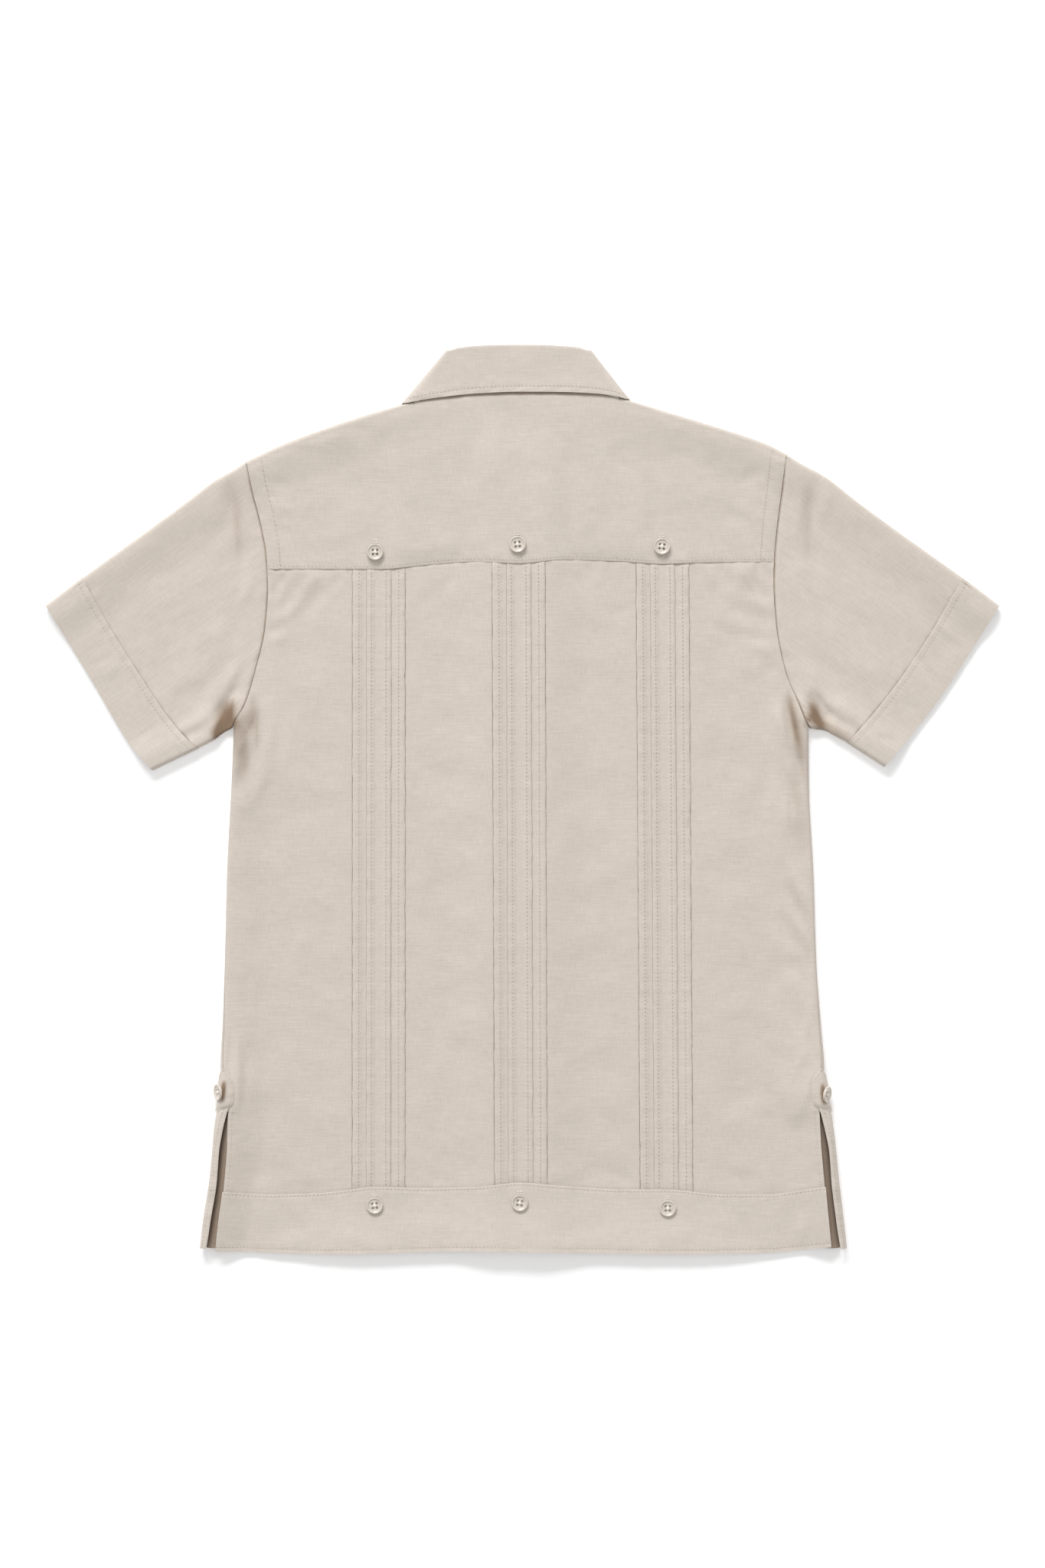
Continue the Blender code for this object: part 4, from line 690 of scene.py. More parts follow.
def cloth_material(name, colour):
    made, tree, shader = bare_material(name, 0.92)
    shader.inputs["Sheen Weight"].default_value = 0.12
    shader.inputs["Sheen Roughness"].default_value = 0.6
    shader.inputs["Specular IOR Level"].default_value = 0.2
    uv = tree.nodes.new("ShaderNodeUVMap")
    uv.uv_map = "cloth"
    weave = tree.nodes.new("ShaderNodeGroup")
    weave.node_tree = WEAVE
    tree.links.new(uv.outputs[0], weave.inputs["Cloth"])
    marks = tree.nodes.new("ShaderNodeGroup")
    marks.node_tree = MARKS
    for title, socket in (("seam_off", "Off"), ("seam_run", "Run")):
        tree.links.new(stored(tree, title), marks.inputs[socket])
    tone = weave.outputs["Tone"]
    # painted shade: the base colour is mixed towards FOLD_SHADE by the painted shade kept on the mesh and by the stitch
    # holes' painted shade
    mix = tree.nodes.new("ShaderNodeMix")
    mix.data_type = "RGBA"
    stitch_hole_shade = math_node(tree, "MULTIPLY", marks.outputs["HoleShade"], 0.62)
    tree.links.new(math_node(tree, "MAXIMUM", stored(tree, "painted_shade_mask"), stitch_hole_shade), mix.inputs[0])
    tree.links.new(scaled_colour(tree, colour, tone), mix.inputs[6])
    tree.links.new(scaled_colour(tree, FOLD_SHADE, tone), mix.inputs[7])
    tree.links.new(mix.outputs[2], shader.inputs["Base Color"])
    height = math_node(tree, "MULTIPLY_ADD", weave.outputs["Height"], 0.05, marks.outputs["Height"])
    add_relief(tree, shader, height, MM)
    return made


def object_coordinates(tree):
    return tree.nodes.new("ShaderNodeTexCoord").outputs["Object"]


def thread_material(name, roughness, scale, colour, spread, relief):
    made, tree, shader = bare_material(name, roughness)
    twist = noise(tree, object_coordinates(tree), (scale, scale, scale))
    tone = math_node(tree, "MULTIPLY_ADD", twist, spread, 1.0)
    tree.links.new(scaled_colour(tree, colour, tone), shader.inputs["Base Color"])
    if relief:
        add_relief(tree, shader, twist, relief)
    return made


def button_material():
    made, tree, shader = bare_material("pale_shell_button", 0.24)
    shader.inputs["Coat Weight"].default_value = 0.35
    shader.inputs["Coat Roughness"].default_value = 0.12
    cloud = noise(tree, object_coordinates(tree), (230.0, 160.0, 260.0), 3.0)
    bands = noise(tree, object_coordinates(tree), (90.0, 900.0, 90.0))
    tone = math_node(tree, "MULTIPLY_ADD", cloud, 0.35, math_node(tree, "MULTIPLY_ADD", bands, 0.2, 1.0))
    tree.links.new(scaled_colour(tree, (0.655, 0.585, 0.51), tone), shader.inputs["Base Color"])
    rough = math_node(tree, "MULTIPLY_ADD", cloud, 0.15, 0.24)
    tree.links.new(rough, shader.inputs["Roughness"])
    return made


FOLD_SHADE = (0.24, 0.165, 0.108)      # the painted shade colour that the cloth is mixed towards in deep folds, gaps and stitch holes
WEAVE, MARKS = woven_threads(), seam_marks()
CLOTH = cloth_material("linen_cotton_body", (0.622, 0.556, 0.491))
# the same cloth made a little darker: painted shade that evens out the doubled pieces, which the lights leave brighter
BANDED = cloth_material("linen_cotton_doubled", (0.617, 0.553, 0.491))
THREAD = thread_material("sewing_thread", 0.7, 900.0, (0.66, 0.595, 0.525), 0.25, 0.00005)
BUTTON = button_material()
BRIGHT_THREAD = thread_material("button_thread_pale", 0.55, 1100.0, (0.86, 0.81, 0.74), 0.2, 0.0)


# Back


def share_of_back(level):
    return (BACK_TOP - level) / (BACK_TOP - BACK_BOTTOM)


def back_level(x, v, level):
    top, bottom = edge_y(YOKE_EDGE, x) - GAP / 2, edge_y(HEM_SEAM, x) + GAP / 2
    return level + (top - BACK_TOP) * (1.0 - v) ** 6 + (bottom - BACK_BOTTOM) * v ** 12


def side_roll(side, level, lap):
    """Middle of the wall on the upper half of a side fold, lap in from its outermost line."""
    outermost, outer = side_at(side, level), side_at("height", level) / 2
    angle = np.arccos(np.clip(1.0 - lap / outer, -1.0, 1.0))
    middle = outer - WALL / 2
    out = sign(side)
    round_it = lap < outer
    x = np.where(round_it, outermost - out * (outer - middle * np.cos(angle)), outermost - out * lap)
    z = np.where(round_it, outer + middle * np.sin(angle), top_z(x, np.broadcast_to(level, x.shape)))
    return x, z


def back_side(side, levels, limit):
    """Columns of the back from its edge in to the limit; x and z for each level, and the distance in."""
    share = (np.arange(SIDE_COLUMNS) / SIDE_COLUMNS) ** 1.5
    v = share_of_back(levels)
    stop = (limit[0] + (limit[1] - limit[0]) * v)[:, None]
    level = levels[:, None]
    out = sign(side)
    above = armhole(side, np.maximum(levels, ARMPIT))[:, None] - out * ARM_GAP
    x_above = above + (stop - above) * share[None, :]
    z_above = top_z(x_above, np.broadcast_to(level, x_above.shape))
    low = np.minimum(level, SIDE_TOP)
    outermost = side_at(side, low)
    lap0 = np.maximum(side_at("back_lap", low) + GAP / 2, 0.0)
    lap = lap0 + (np.abs(outermost - stop) - lap0) * share[None, :]
    x_low, z_low = side_roll(side, np.broadcast_to(low, lap.shape), lap)
    down = smooth((ARMPIT - level) / 5.0)
    x, z = x_above + (x_low - x_above) * down, z_above + (z_low - z_above) * down
    return x, z, np.abs(x - x[:, :1])


TUCK_STEPS = (
    # one tuck from the cloth outside it, under it, out to its fold and back over its stitching:
    # share of the way from the fold in to the stitching, extra run inward, layer height
    (-0.45, 0.0, 0.0), (-0.21, 0.0, 0.0), (-0.1, 0.0, 0.0), (0.2, 0.0, 0.0), (0.92, 0.0, 0.1), (1.0, 0.0, 0.5),
    (0.9, 0.0, 1.0), (0.12, 0.0, 1.05), (0.0, 0.0, 1.5), (0.12, 0.0, 2.0), (0.45, 0.0, 2.08), (0.8, 0.0, 2.0),
    (1.0, 0.0, 1.82), (1.0, 0.7, 1.75), (1.0, 1.5, 1.0), (1.0, 2.4, 0.1),
)
STITCHED_STEP = 12              # the step that lies on the tuck's stitching
SIDE_COLUMNS = 46
BAND_MIDDLE = (-1.6, 0.0, 1.6)  # columns down the middle of a tuck band
PANEL_COLUMNS = 21              # columns between two tuck bands
VENT_STITCH = 2.8               # the vents' stitching, in from their edge


def tuck_columns(fold, stitch, y, number):
    """One tuck's columns: x, z, distance off its stitching, painted shade. Its fold wanders and lifts a little."""
    inward = math.copysign(1.0, float(np.ravel(stitch - fold)[0]))
    z, columns = top_z(stitch, y), []
    outer = abs(float(np.ravel(stitch - fold)[0])) > 4.0
    # painted shade: a thin dark line on the flat cloth just outside the fold, stronger on the outer tucks and on the
    # bands' left halves, where the light leaves little shadow
    fold_line_shade = (0.46 if outer else 0.24) + (0.2 if inward > 0 else 0.0)
    fold_line_shade = np.clip(fold_line_shade + (0.3 if outer else 0.1) * ripple(y, y * 0.5, 9.0, number + 2), 0.03, 0.95)
    wander = 0.22 * ripple(y, y * 0.3, 21.0, number) + 0.12 * ripple(y, y, 7.5, number + 5)
    lift = 0.16 + 0.2 * ripple(y, y * 0.2, 8.5, number + 9) + 0.14 * ripple(y, y * 0.2, 30.0, number + 3)
    for share, beyond, layer in TUCK_STEPS:
        x = fold + (stitch - fold) * share + inward * beyond
        nearness = (1.0 - share) if 0.0 <= share < 1.0 and layer >= 1.0 else 0.0
        x = x + wander * (nearness if layer else 1.0 * (-0.2 < share < 0.1))
        up = layer * TUCK_RISE + (lift * nearness if layer > 0.6 else 0.0)
        off = np.abs(x - stitch) if layer >= 1.0 or beyond else np.full(y.shape, 9.0)
        columns.append((x, z + up, off, fold_line_shade * (0.0 if share < -0.1 or layer > 0.6 or beyond else 1.0)))
    return columns


def plain_column(x, levels, off):
    """A column of flat cloth, so far off any stitching."""
    return x, top_z(x, levels), np.full(levels.shape, off), 0 * levels


def side_columns(side, levels, limit, vent):
    """The back from one side to the limit, with stitching down the edge where the vent is open."""
    x, z, away = back_side(side, levels, limit)
    return [(x[:, k], z[:, k], np.where(vent, np.abs(away[:, k] - VENT_STITCH), FAR), 0 * levels)
            for k in range(SIDE_COLUMNS)]


def pucker(run, off, reach, height, number, length=9.0):
    """Short ripples across a seam that die out within its reach."""
    fade = np.clip(1.0 - off / reach, 0.0, 1.0) ** 1.5
    wave = ripple(run, off * 0.4, length, number) + 0.6 * ripple(run, off * 0.3, length * 2.3, number + 4)
    return height * wave * fade


def build_back():
    levels = np.concatenate([BACK_TOP - np.array((-1.8, -0.5, 0.1, 0.5, 1.0, 2.0, 3.4)),
                             np.linspace(160.0, BACK_BOTTOM + 4.0, 131),
                             BACK_BOTTOM + np.array((2.6, 1.3, 0.3, -0.6, -1.8))])
    v = np.clip(share_of_back(levels), 0.0, 1.0)
    vent = levels < VENT_TOP["back"]
    middles = [top + (bottom - top) * v for top, bottom in BANDS]
    outer = TUCKS[0][0] + 3.2
    columns = side_columns("left", levels, [end - outer for end in BANDS[0]], vent)
    for band, middle in enumerate(middles):
        for number, (fold, stitch) in enumerate(TUCKS):
            columns += tuck_columns(middle - fold, middle - stitch, levels, band * 4 + number)
        columns += [plain_column(middle + away, levels, 9.0) for away in BAND_MIDDLE]
        for number, (fold, stitch) in enumerate(TUCKS[::-1]):
            columns += tuck_columns(middle + fold, middle + stitch, levels, band * 4 + 2 + number)[::-1]
        if band < 2:
            start, stop = middle + outer, middles[band + 1] - outer
            steps = PANEL_COLUMNS + 1
            columns += [plain_column(start + (stop - start) * k / steps, levels, FAR) for k in range(1, steps)]
    columns += side_columns("right", levels, [end + outer for end in BANDS[2]], vent)[::-1]
    x, z, off, deep = (np.stack(part, axis=1) for part in zip(*columns))
    y = back_level(x, v[:, None], levels[:, None])
    level = np.broadcast_to(levels[:, None], x.shape)
    arm = np.minimum(np.abs(x - x[:, :1]), np.abs(x - x[:, -1:]))
    from_top = edge_y(YOKE_EDGE, x) - y
    from_hem = y - edge_y(HEM_SEAM, x)
    bands = sum(falloff(np.abs(x - m[:, None]) - 19.0, 6.0) for m in middles)
    open_cloth = 1.0 - 0.8 * bands
    keep = smooth(arm / 5.0)
    z = z + creased(BODY_CREASES, x, y) * open_cloth * np.where(y > ARMPIT, 1.0, 0.25 + 0.75 * keep)
    z = z + (0.28 * ripple(x, y, 46.0, 2) + 0.10 * ripple(x, y, 17.0, 8)) * open_cloth * keep
    z = z + pucker(x, from_top, 16.0, 0.42, 1) * np.where(bands > 0.5, 0.35, 1.0)
    z = z + pucker(x, from_hem, 10.0, 0.26, 6)
    z = z + pucker(y, arm, 9.0, 0.34, 11, 11.0) * np.where(y > ARMPIT, 1.0, 0.25)
    base = top_z(x, y)
    ends = np.minimum(from_top, from_hem)
    press = np.where(arm < 14.0, 1.0, 0.5 + 0.5 * smooth((ends + 0.5) / 7.0))
    z = base + (z - base) * press
    z = z - 0.3 * falloff(from_top + 0.6, 2.0) - 0.3 * falloff(from_hem + 0.6, 2.0)
    z = np.maximum(z, 1.35)
    points = np.stack([x, y, z], axis=2)
    run = np.where(off < FAR - 1.0, level, 0.0)
    off = np.where(from_top < off, 3.0 + from_top, off)
    # painted shadow: a thin dark strip on the back just under the yoke's edge, patchy along it
    patchy = np.clip(0.75 + 0.5 * ripple(x, y, 60.0, 9), 0.0, 1.0)
    yoke_edge_shadow = 0.27 * falloff(from_top - 0.15, 0.6) * patchy * open_cloth
    deep = np.maximum(np.maximum(deep, yoke_edge_shadow), shaded(x, y))
    sheet("back", [patch(points, off, run, v=y, deep=deep)], CLOTH)
    # thread along every tuck, and down the edges of the vents
    column = SIDE_COLUMNS
    tuck, between = len(TUCK_STEPS), len(BAND_MIDDLE)
    for band in range(len(BANDS)):
        for number in range(4):
            stitched = STITCHED_STEP if number < 2 else between + tuck - 1 - STITCHED_STEP
            stitch_line("tuck_stitching", points[3:-3, column + number * tuck + stitched])
        column += 4 * tuck + between + PANEL_COLUMNS
    rows = np.where(vent)[0]
    for edge in (0, -1):
        line = []
        for r in rows:
            order = np.argsort(np.abs(np.abs(x[r] - x[r, edge]) - VENT_STITCH))[0]
            line.append(points[r, order])
        line = np.array(line)
        line[:, 0] = x[rows, edge] + (VENT_STITCH if edge == 0 else -VENT_STITCH)
        stitch_line("vent_stitching", line)


HEM_TOP, HEM_BOTTOM = -271.0, -315.0
HEM_LIFT = 5.44                 # the hem band stands off the floor towards its edge, and less at the sides
HEM_STITCHES = (1.7, 3.0)       # down from the seam and up from the edge
TOPS = {}                       # the outer cloth of the yoke and the hem band, kept for what is sewn to it


def build_hem_back():
    count = 40
    share = np.array((0.0, 0.012, 0.036, 0.06, 0.09, 0.15, 0.22, 0.3, 0.38, 0.46, 0.54, 0.62, 0.7, 0.78, 0.86,
                      0.9, 0.93, 0.965, 1.0))
    inner = np.linspace(-176.0, 168.0, 150)
    rows = []
    for s in share:
        level = HEM_TOP + (HEM_BOTTOM - HEM_TOP) * s
        rolls = []
        for side, limit in (("left", -178.0), ("right", 170.0)):
            laps0 = side_at("back_lap", level) + GAP / 2 - 0.7
            reach = abs(side_at(side, level) - limit)
            laps = laps0 + (reach - laps0) * (np.arange(count) / count) ** 1.4
            rolls.append(side_roll(side, np.full(count, level), laps))
        left, right = rolls
        x = np.concatenate([left[0], inner, right[0][::-1]])
        z = np.concatenate([left[1], top_z(inner, np.full(inner.shape, level)), right[1][::-1]])
        top, bottom = edge_y(HEM_SEAM, x) - GAP / 2, edge_y(HEM_EDGE, x)
        rows.append(np.stack([x, top + (bottom - top) * s, z], axis=1))
    g = np.stack(rows)
    x, y = g[..., 0], g[..., 1]
    from_top, from_edge = edge_y(HEM_SEAM, x) - y, y - edge_y(HEM_EDGE, x)
    side = np.minimum(x - x[:, :1], x[:, -1:] - x)
    keep = smooth(side / 6.0)
    g[..., 2] += band_lift(x, y) * 0.8 + creased(HEM_CREASES, x, y) * keep + 0.12 * ripple(x, y, 38.0, 5) * keep
    g[..., 2] += HEM_LIFT * smooth(from_top / 60.0) * falloff(np.abs(x) - 120.0, 80.0)
    g[..., 2] += 0.55 + pucker(x, from_top, 8.0, 0.2, 3) + pucker(x, from_edge, 7.0, 0.22, 7, 12.0)
    g[..., 2] -= 0.35 * falloff(from_top, 1.0) + 0.22 * ridge(from_top, 1.75, 0.55)
    g[..., 2] -= 0.2 * ridge(from_edge, HEM_STITCHES[1], 0.8)
    off = np.minimum(np.abs(from_top - HEM_STITCHES[0]), np.abs(from_edge - HEM_STITCHES[1]))
    TOPS["hem"] = g.reshape(-1, 3)
    sheet("hem_back", [patch(g, off, x.copy())], BANDED,
          DOUBLED)
    for levels in (y[0] - HEM_STITCHES[0], y[-1] + HEM_STITCHES[1]):
        line = [point_at(levels[k], g[::-1, k, 1], g[::-1, k]) for k in range(2, g.shape[1] - 2)]
        stitch_line("hem_stitching", line, proud=DOUBLED / 2)


# Yoke


def shoulder_frame(side, share):
    fold = np.array(SHOULDERS[side][:5])[::-1]
    xs = np.abs(fold[:, 0])
    x = xs[0] + (xs[-1] - xs[0]) * share
    y, height = (spline(xs[::-1], fold[::-1, k], x) for k in (1, 2))
    return sign(side) * x, float(y), float(height)


def armhole_start(side):
    _, y, height = shoulder_frame(side, 0.0)
    level = y - height / 2
    return Vector((float(armhole(side, level)), level))


def shoulder_fold(side, share):
    inward = -sign(side)
    x, y, height = shoulder_frame(side, share)
    start = armhole_start(side)
    below = start.y - 8.0
    along_armhole = (Vector((float(armhole(side, below)), below)) - start).normalized()
    down = along_armhole.lerp(Vector((inward * 0.2, -1.0)).normalized(), share).normalized()
    top, bottom = height - WALL / 2, float(front_z(side, x, y))
    middle = Vector((x, y)) + down * ((top - bottom) / 2 + WALL / 2)
    if share == 0.0:
        middle = start + Vector((inward * ARM_GAP, 0.0))
    return middle, down, top, bottom


YOKE_DROPS = np.concatenate([(0.0, 0.008, 0.016, 0.024, 0.05), np.linspace(0.075, 0.94, 34),
                             np.linspace(0.945, 1.0, 20)])


def yoke_column(side, share, arcs=10, fronts=8):
    """Plan and height of one yoke column: back rows, the fold over the shoulder, and front rows."""
    inward = -sign(side)
    middle, down, top, bottom = shoulder_fold(side, share)
    end = Vector(YOKE_EDGE[0] if side == "left" else YOKE_EDGE[-1])
    foot_x = end.x + (-inward * 74.0 - end.x) * share
    foot = Vector((foot_x, float(edge_y(YOKE_EDGE, foot_x)) + GAP / 2))
    start = armhole_start(side)
    back = []
    for drop in YOKE_DROPS:
        chord = end.lerp(start, float(drop))
        bow = float(armhole(side, chord.y)) + inward * ARM_GAP - chord.x
        here = foot.lerp(middle, float(drop)) + Vector((bow * (1.0 - share) * min(1.0, 4.0 * (1.001 - drop)), 0.0))
        back.append((here.x, here.y))
    rest = []
    radius = (top - bottom) / 2
    for k in range(arcs + 1):
        turn = math.radians(90.0 - 180.0 * k / arcs)
        here = middle - down * (radius * math.cos(turn))
        rest.append((here.x, here.y, bottom + radius + radius * math.sin(turn)))
    for k in range(1, fronts + 1):
        here = middle + down * (YOKE_FRONT * k / fronts)
        if share == 0.0:
            here.x = float(armhole(side, here.y)) + inward * ARM_GAP
        rest.append((here.x, here.y, float(front_z(side, here.x, here.y))))
    return np.array(back), np.array(rest)


def neck_y(x):
    return spline((0.0, 16.0, 33.0, 55.0, 74.0), (289.0, 288.8, 287.8, 284.4, 277.5), np.abs(x + 4.0))


def yoke_stitch(level):
    """How far in from the armhole the yoke is stitched."""
    return 8.9 + 1.8 * (level - 161.0) / 75.0


def build_yoke():
    shares = np.concatenate([(0.0, 0.012, 0.03, 0.055, 0.068), np.linspace(0.076, 0.106, 7),
                             np.linspace(0.13, 1.0, 37)])
    sides = {side: [yoke_column(side, float(s)) for s in shares] for side in ("left", "right")}
    back = [column for column, _ in sides["left"]]
    first, last = sides["left"][-1][0], sides["right"][-1][0]
    count = 60
    heads = np.linspace(first[-1, 0], last[-1, 0], count + 1)
    levels = neck_y(heads) - GAP / 2
    levels = levels + np.interp(heads, (heads[0], heads[-1]), (first[-1, 1] - levels[0], last[-1, 1] - levels[-1]))
    feet = np.linspace(first[0, 0], last[0, 0], count + 1)
    for k in range(1, count):
        foot = np.array((feet[k], float(edge_y(YOKE_EDGE, feet[k])) + GAP / 2))
        head = np.array((heads[k], levels[k]))
        back.append(foot + (head - foot) * YOKE_DROPS[:, None])
    back += [column for column, _ in sides["right"][::-1]]
    plan = np.stack(back, axis=1)
    x, y = plan[..., 0], plan[..., 1]
    z = top_z(x, y) + band_lift(x, y) * 0.7
    fade = smooth((1.0 - YOKE_DROPS) / 0.08)[:, None]
    from_edge = y - edge_y(YOKE_EDGE, x)
    seam = np.minimum(*(np.hypot(*(plan - end).transpose(2, 0, 1)) for end in (plan[:, :1], plan[:, -1:])))
    z += (creased(YOKE_CREASES, x, y) + 0.25 * ripple(x, y, 50.0, 4) + 0.09 * ripple(x, y, 18.0, 1)) * fade
    z += 0.4 * fade + pucker(x, from_edge, 7.0, 0.16, 2) * fade
    z += pucker(y, seam, 11.0, 0.24, 15, 10.0) * fade + 0.25 * ridge(seam, 4.0, 3.0) * fade
    z -= (0.45 * falloff(from_edge, 0.9) + 0.15 * ridge(from_edge, 2.0, 1.0)) * fade
    z -= 0.3 * falloff(seam, 1.0) * fade
    points = np.dstack([plan, z])[::-1]
    off = np.minimum(np.abs(from_edge - 2.0), np.abs(seam - yoke_stitch(y)))
    # painted shadow: a dark strip on the yoke just below the collar leaf's free edge, widest at the middle of the back
    under_leaf = edge_y(LEAF_EDGE, x) - y
    wide = 0.4 + 2.7 * np.clip(1.0 - np.abs(x + 2.0) / 84.0, 0.0, 1.0) ** 0.5
    deep = 0.68 * falloff(under_leaf - wide * 0.45, 0.6 * wide) * (np.abs(x + 4.0) < 79.0)
    deep = np.maximum(deep, shaded(x, y))
    patches = [patch(points, off[::-1], (x + y)[::-1], v=y[::-1], deep=deep[::-1])]
    for side in ("left", "right"):
        rest = [r for _, r in sides[side]]
        own = slice(0, len(rest))
        if side == "right":
            rest, own = rest[::-1], slice(-len(rest), None)
        strip = np.stack(rest, axis=1)
        join, u = points[0][own], patches[0].uv[0, own, 0]
        strip[0] = join
        down = lengths_along(strip, 0)
        strip = strip[::-1]
        patches.append(patch(strip, u=np.broadcast_to(u, strip.shape[:2]), v=(join[:, 1] + down)[::-1]))
    TOPS["yoke"] = points.reshape(-1, 3)
    sheet("yoke", patches, BANDED, DOUBLED)
    columns = [points[::-1, k] for k in range(2, points.shape[1] - 2)]
    line = [point_at(column[0, 1] + 1.9, column[:, 1], column) for column in columns]
    stitch_line("yoke_stitching", line, proud=DOUBLED / 2)
    for edge in (0, -1):
        line = []
        for r in range(3, points.shape[0] - 5):
            row = (points[r] if edge == 0 else points[r, ::-1])[:60]
            away = np.hypot(row[:, 0] - row[0, 0], row[:, 1] - row[0, 1])
            line.append(point_at(yoke_stitch(row[0, 1]), away, row))
        stitch_line("yoke_stitching", line, proud=DOUBLED / 2)
    return sides


# Fronts


def front_top(side, x, seams):
    """The neck seam and then the shoulder seam, at the top of a front."""
    from_centre = np.abs(np.asarray(x) - CENTRE)
    steps = np.array((0.0, 17.0, 34.0, 51.0, 68.0))
    ellipse = NECK_DIP - NECK_DEPTH * np.sqrt(1.0 - (steps / NECK_HALF) ** 2)
    ends = np.array([rest[-1][:2] for _, rest in seams[side]])[::-1]
    xs = np.concatenate([steps, np.abs(ends[:, 0] - CENTRE)])
    ys = np.concatenate([ellipse, ends[:, 1] - GAP])
    ys[len(steps)] = ends[0, 1]
    return np.interp(from_centre, xs, ys)


FRONT_EDGE = 24                 # columns round a front's side fold


def front_roll(side, levels):
    """Points round the side fold from the surface to the front's edge, for each level."""
    out = sign(side)
    outermost, outer = side_at(side, levels)[:, None], side_at("height", levels)[:, None] / 2
    radius = outer - WALL / 2
    lap = side_at("front_lap", levels)[:, None] - GAP / 2
    end = np.where(lap >= outer, math.pi, math.pi / 2 + np.arccos(np.clip(1.0 - np.abs(lap) / outer, -1, 1)))
    end = end - np.where(lap < 0, 2 * GAP / radius, 0.0)
    flat = np.maximum(0.0, lap - outer)
    run = (radius * end + flat) * np.linspace(0, 1, FRONT_EDGE)[None, :]
    angle = np.minimum(run / radius, end)
    beyond = np.maximum(0.0, run - radius * end)
    x = outermost - out * (outer - radius * np.sin(angle) + beyond)
    return x, outer - radius * np.cos(angle), run[:, -1:] - run


def build_fronts(seams):
    cloth_levels = np.concatenate([np.linspace(FRONT_TOP, -184.0, 118), np.linspace(-186.0, FRONT_HEM_SEAM, 42)])
    hem_levels = np.linspace(FRONT_HEM_SEAM - 0.04, FRONT_HEM_EDGE, 22)
    for side in ("left", "right"):
        out = sign(side)
        columns = CENTRE + out * np.concatenate([np.linspace(-OVERLAP, 20.0, 16), np.linspace(23.0, 150.0, 40)])
        for name, levels in (("front_", cloth_levels), ("hem_front_", hem_levels)):
            rx, rz, edge = front_roll(side, np.minimum(levels, SIDE_TOP))
            arm = armhole(side, np.maximum(levels, ARMPIT))[:, None] - out * ARM_GAP
            ax = arm - out * 5.0 * (1.0 - np.linspace(0, 1, FRONT_EDGE))[None, :]
            down = smooth((ARMPIT - levels) / 5.0)[:, None]
            rx, rz = ax + (rx - ax) * down, FLOOR_CLOTH + (rz - FLOOR_CLOTH) * down
            between = columns[-1] + (rx[:, :1] - columns[-1]) * np.linspace(0, 1, 16)[None, 1:-1] ** 0.55
            x = np.concatenate([np.broadcast_to(columns, (len(levels), len(columns))), between, rx], axis=1)
            share = (FRONT_TOP - levels[:, None]) / (FRONT_TOP - FRONT_HEM_SEAM)
            y = np.broadcast_to(levels[:, None], x.shape).copy()
            if name == "front_":
                y += (front_top(side, x, seams) - FRONT_TOP) * (1.0 - share) ** 2 * (np.abs(x - CENTRE) < 181.0)
            z = front_z(side, x, y)
            z[:, -FRONT_EDGE:] = rz
            rise = 0.3 * ripple(x, y, 48.0, 12) + 0.12 * ripple(x, y, 19.0, 3)
            inside = smooth((x.shape[1] - FRONT_EDGE - np.arange(x.shape[1])) / 8.0)[None, :] * (1.0 - placket(x))
            z += np.maximum(rise * inside, 0.0)
            vent = np.where(levels < VENT_TOP["front"], 1.0, 0.0)[:, None]
            off = np.full(x.shape, FAR)
            off[:, -FRONT_EDGE:] = np.where(vent > 0, np.abs(edge - 3.0), FAR)
            wave = 0.35 * ripple(y[:, -FRONT_EDGE:], edge, 17.0, 7) * smooth((8.0 - edge) / 6.0)
            z[:, -FRONT_EDGE:] += vent * (0.28 * ridge(edge, 1.1, 0.8) + wave)
            if name == "hem_front_":
                for line in (-272.0, FRONT_HEM_EDGE + 3.0):
                    off = np.minimum(off, np.abs(levels[:, None] - line))
            if side == "right":
                x, y, z, off = (part[:, ::-1] for part in (x, y, z, off))
            inside = np.abs(x - side_at(side, y))
            vent = smooth((-212.0 - y) / 8.0) * (z < 4.0)
            z = z + 5.2 * vent * smooth((inside - 5.0) / 3.5) * falloff(inside - 12.0, 9.0)
            # painted shade: the lower cloth seen through each vent slit is darkened
            deep = 0.8 * vent * smooth((inside - 3.0) / 1.0) * falloff(inside - 13.0, 5.0)
            points = np.stack([x, y, z], axis=2)
            if name == "front_":
                sheet(name + side, [patch(points, off, y.copy(), v=y, deep=deep)], CLOTH)
            else:
                sheet(name + side, [patch(points, off, np.where(off < FAR - 1.0, y, 0), v=y, deep=deep)], BANDED,
                      DOUBLED)


# Sleeves and cuffs


def resample(points, shares, ends=(0.0, 0.0)):
    """Points at shares of a line's length, once it is cut back by so much at each end."""
    points = np.asarray(points, float)
    run = np.concatenate([[0.0], np.cumsum(np.linalg.norm(np.diff(points, axis=0), axis=1))])
    spots = ends[0] + np.asarray(shares) * (run[-1] - ends[0] - ends[1])
    if len(points) > 20:
        return np.stack([np.interp(spots, run, points[:, k]) for k in range(points.shape[1])], axis=1)
    return spline(run, points, spots)


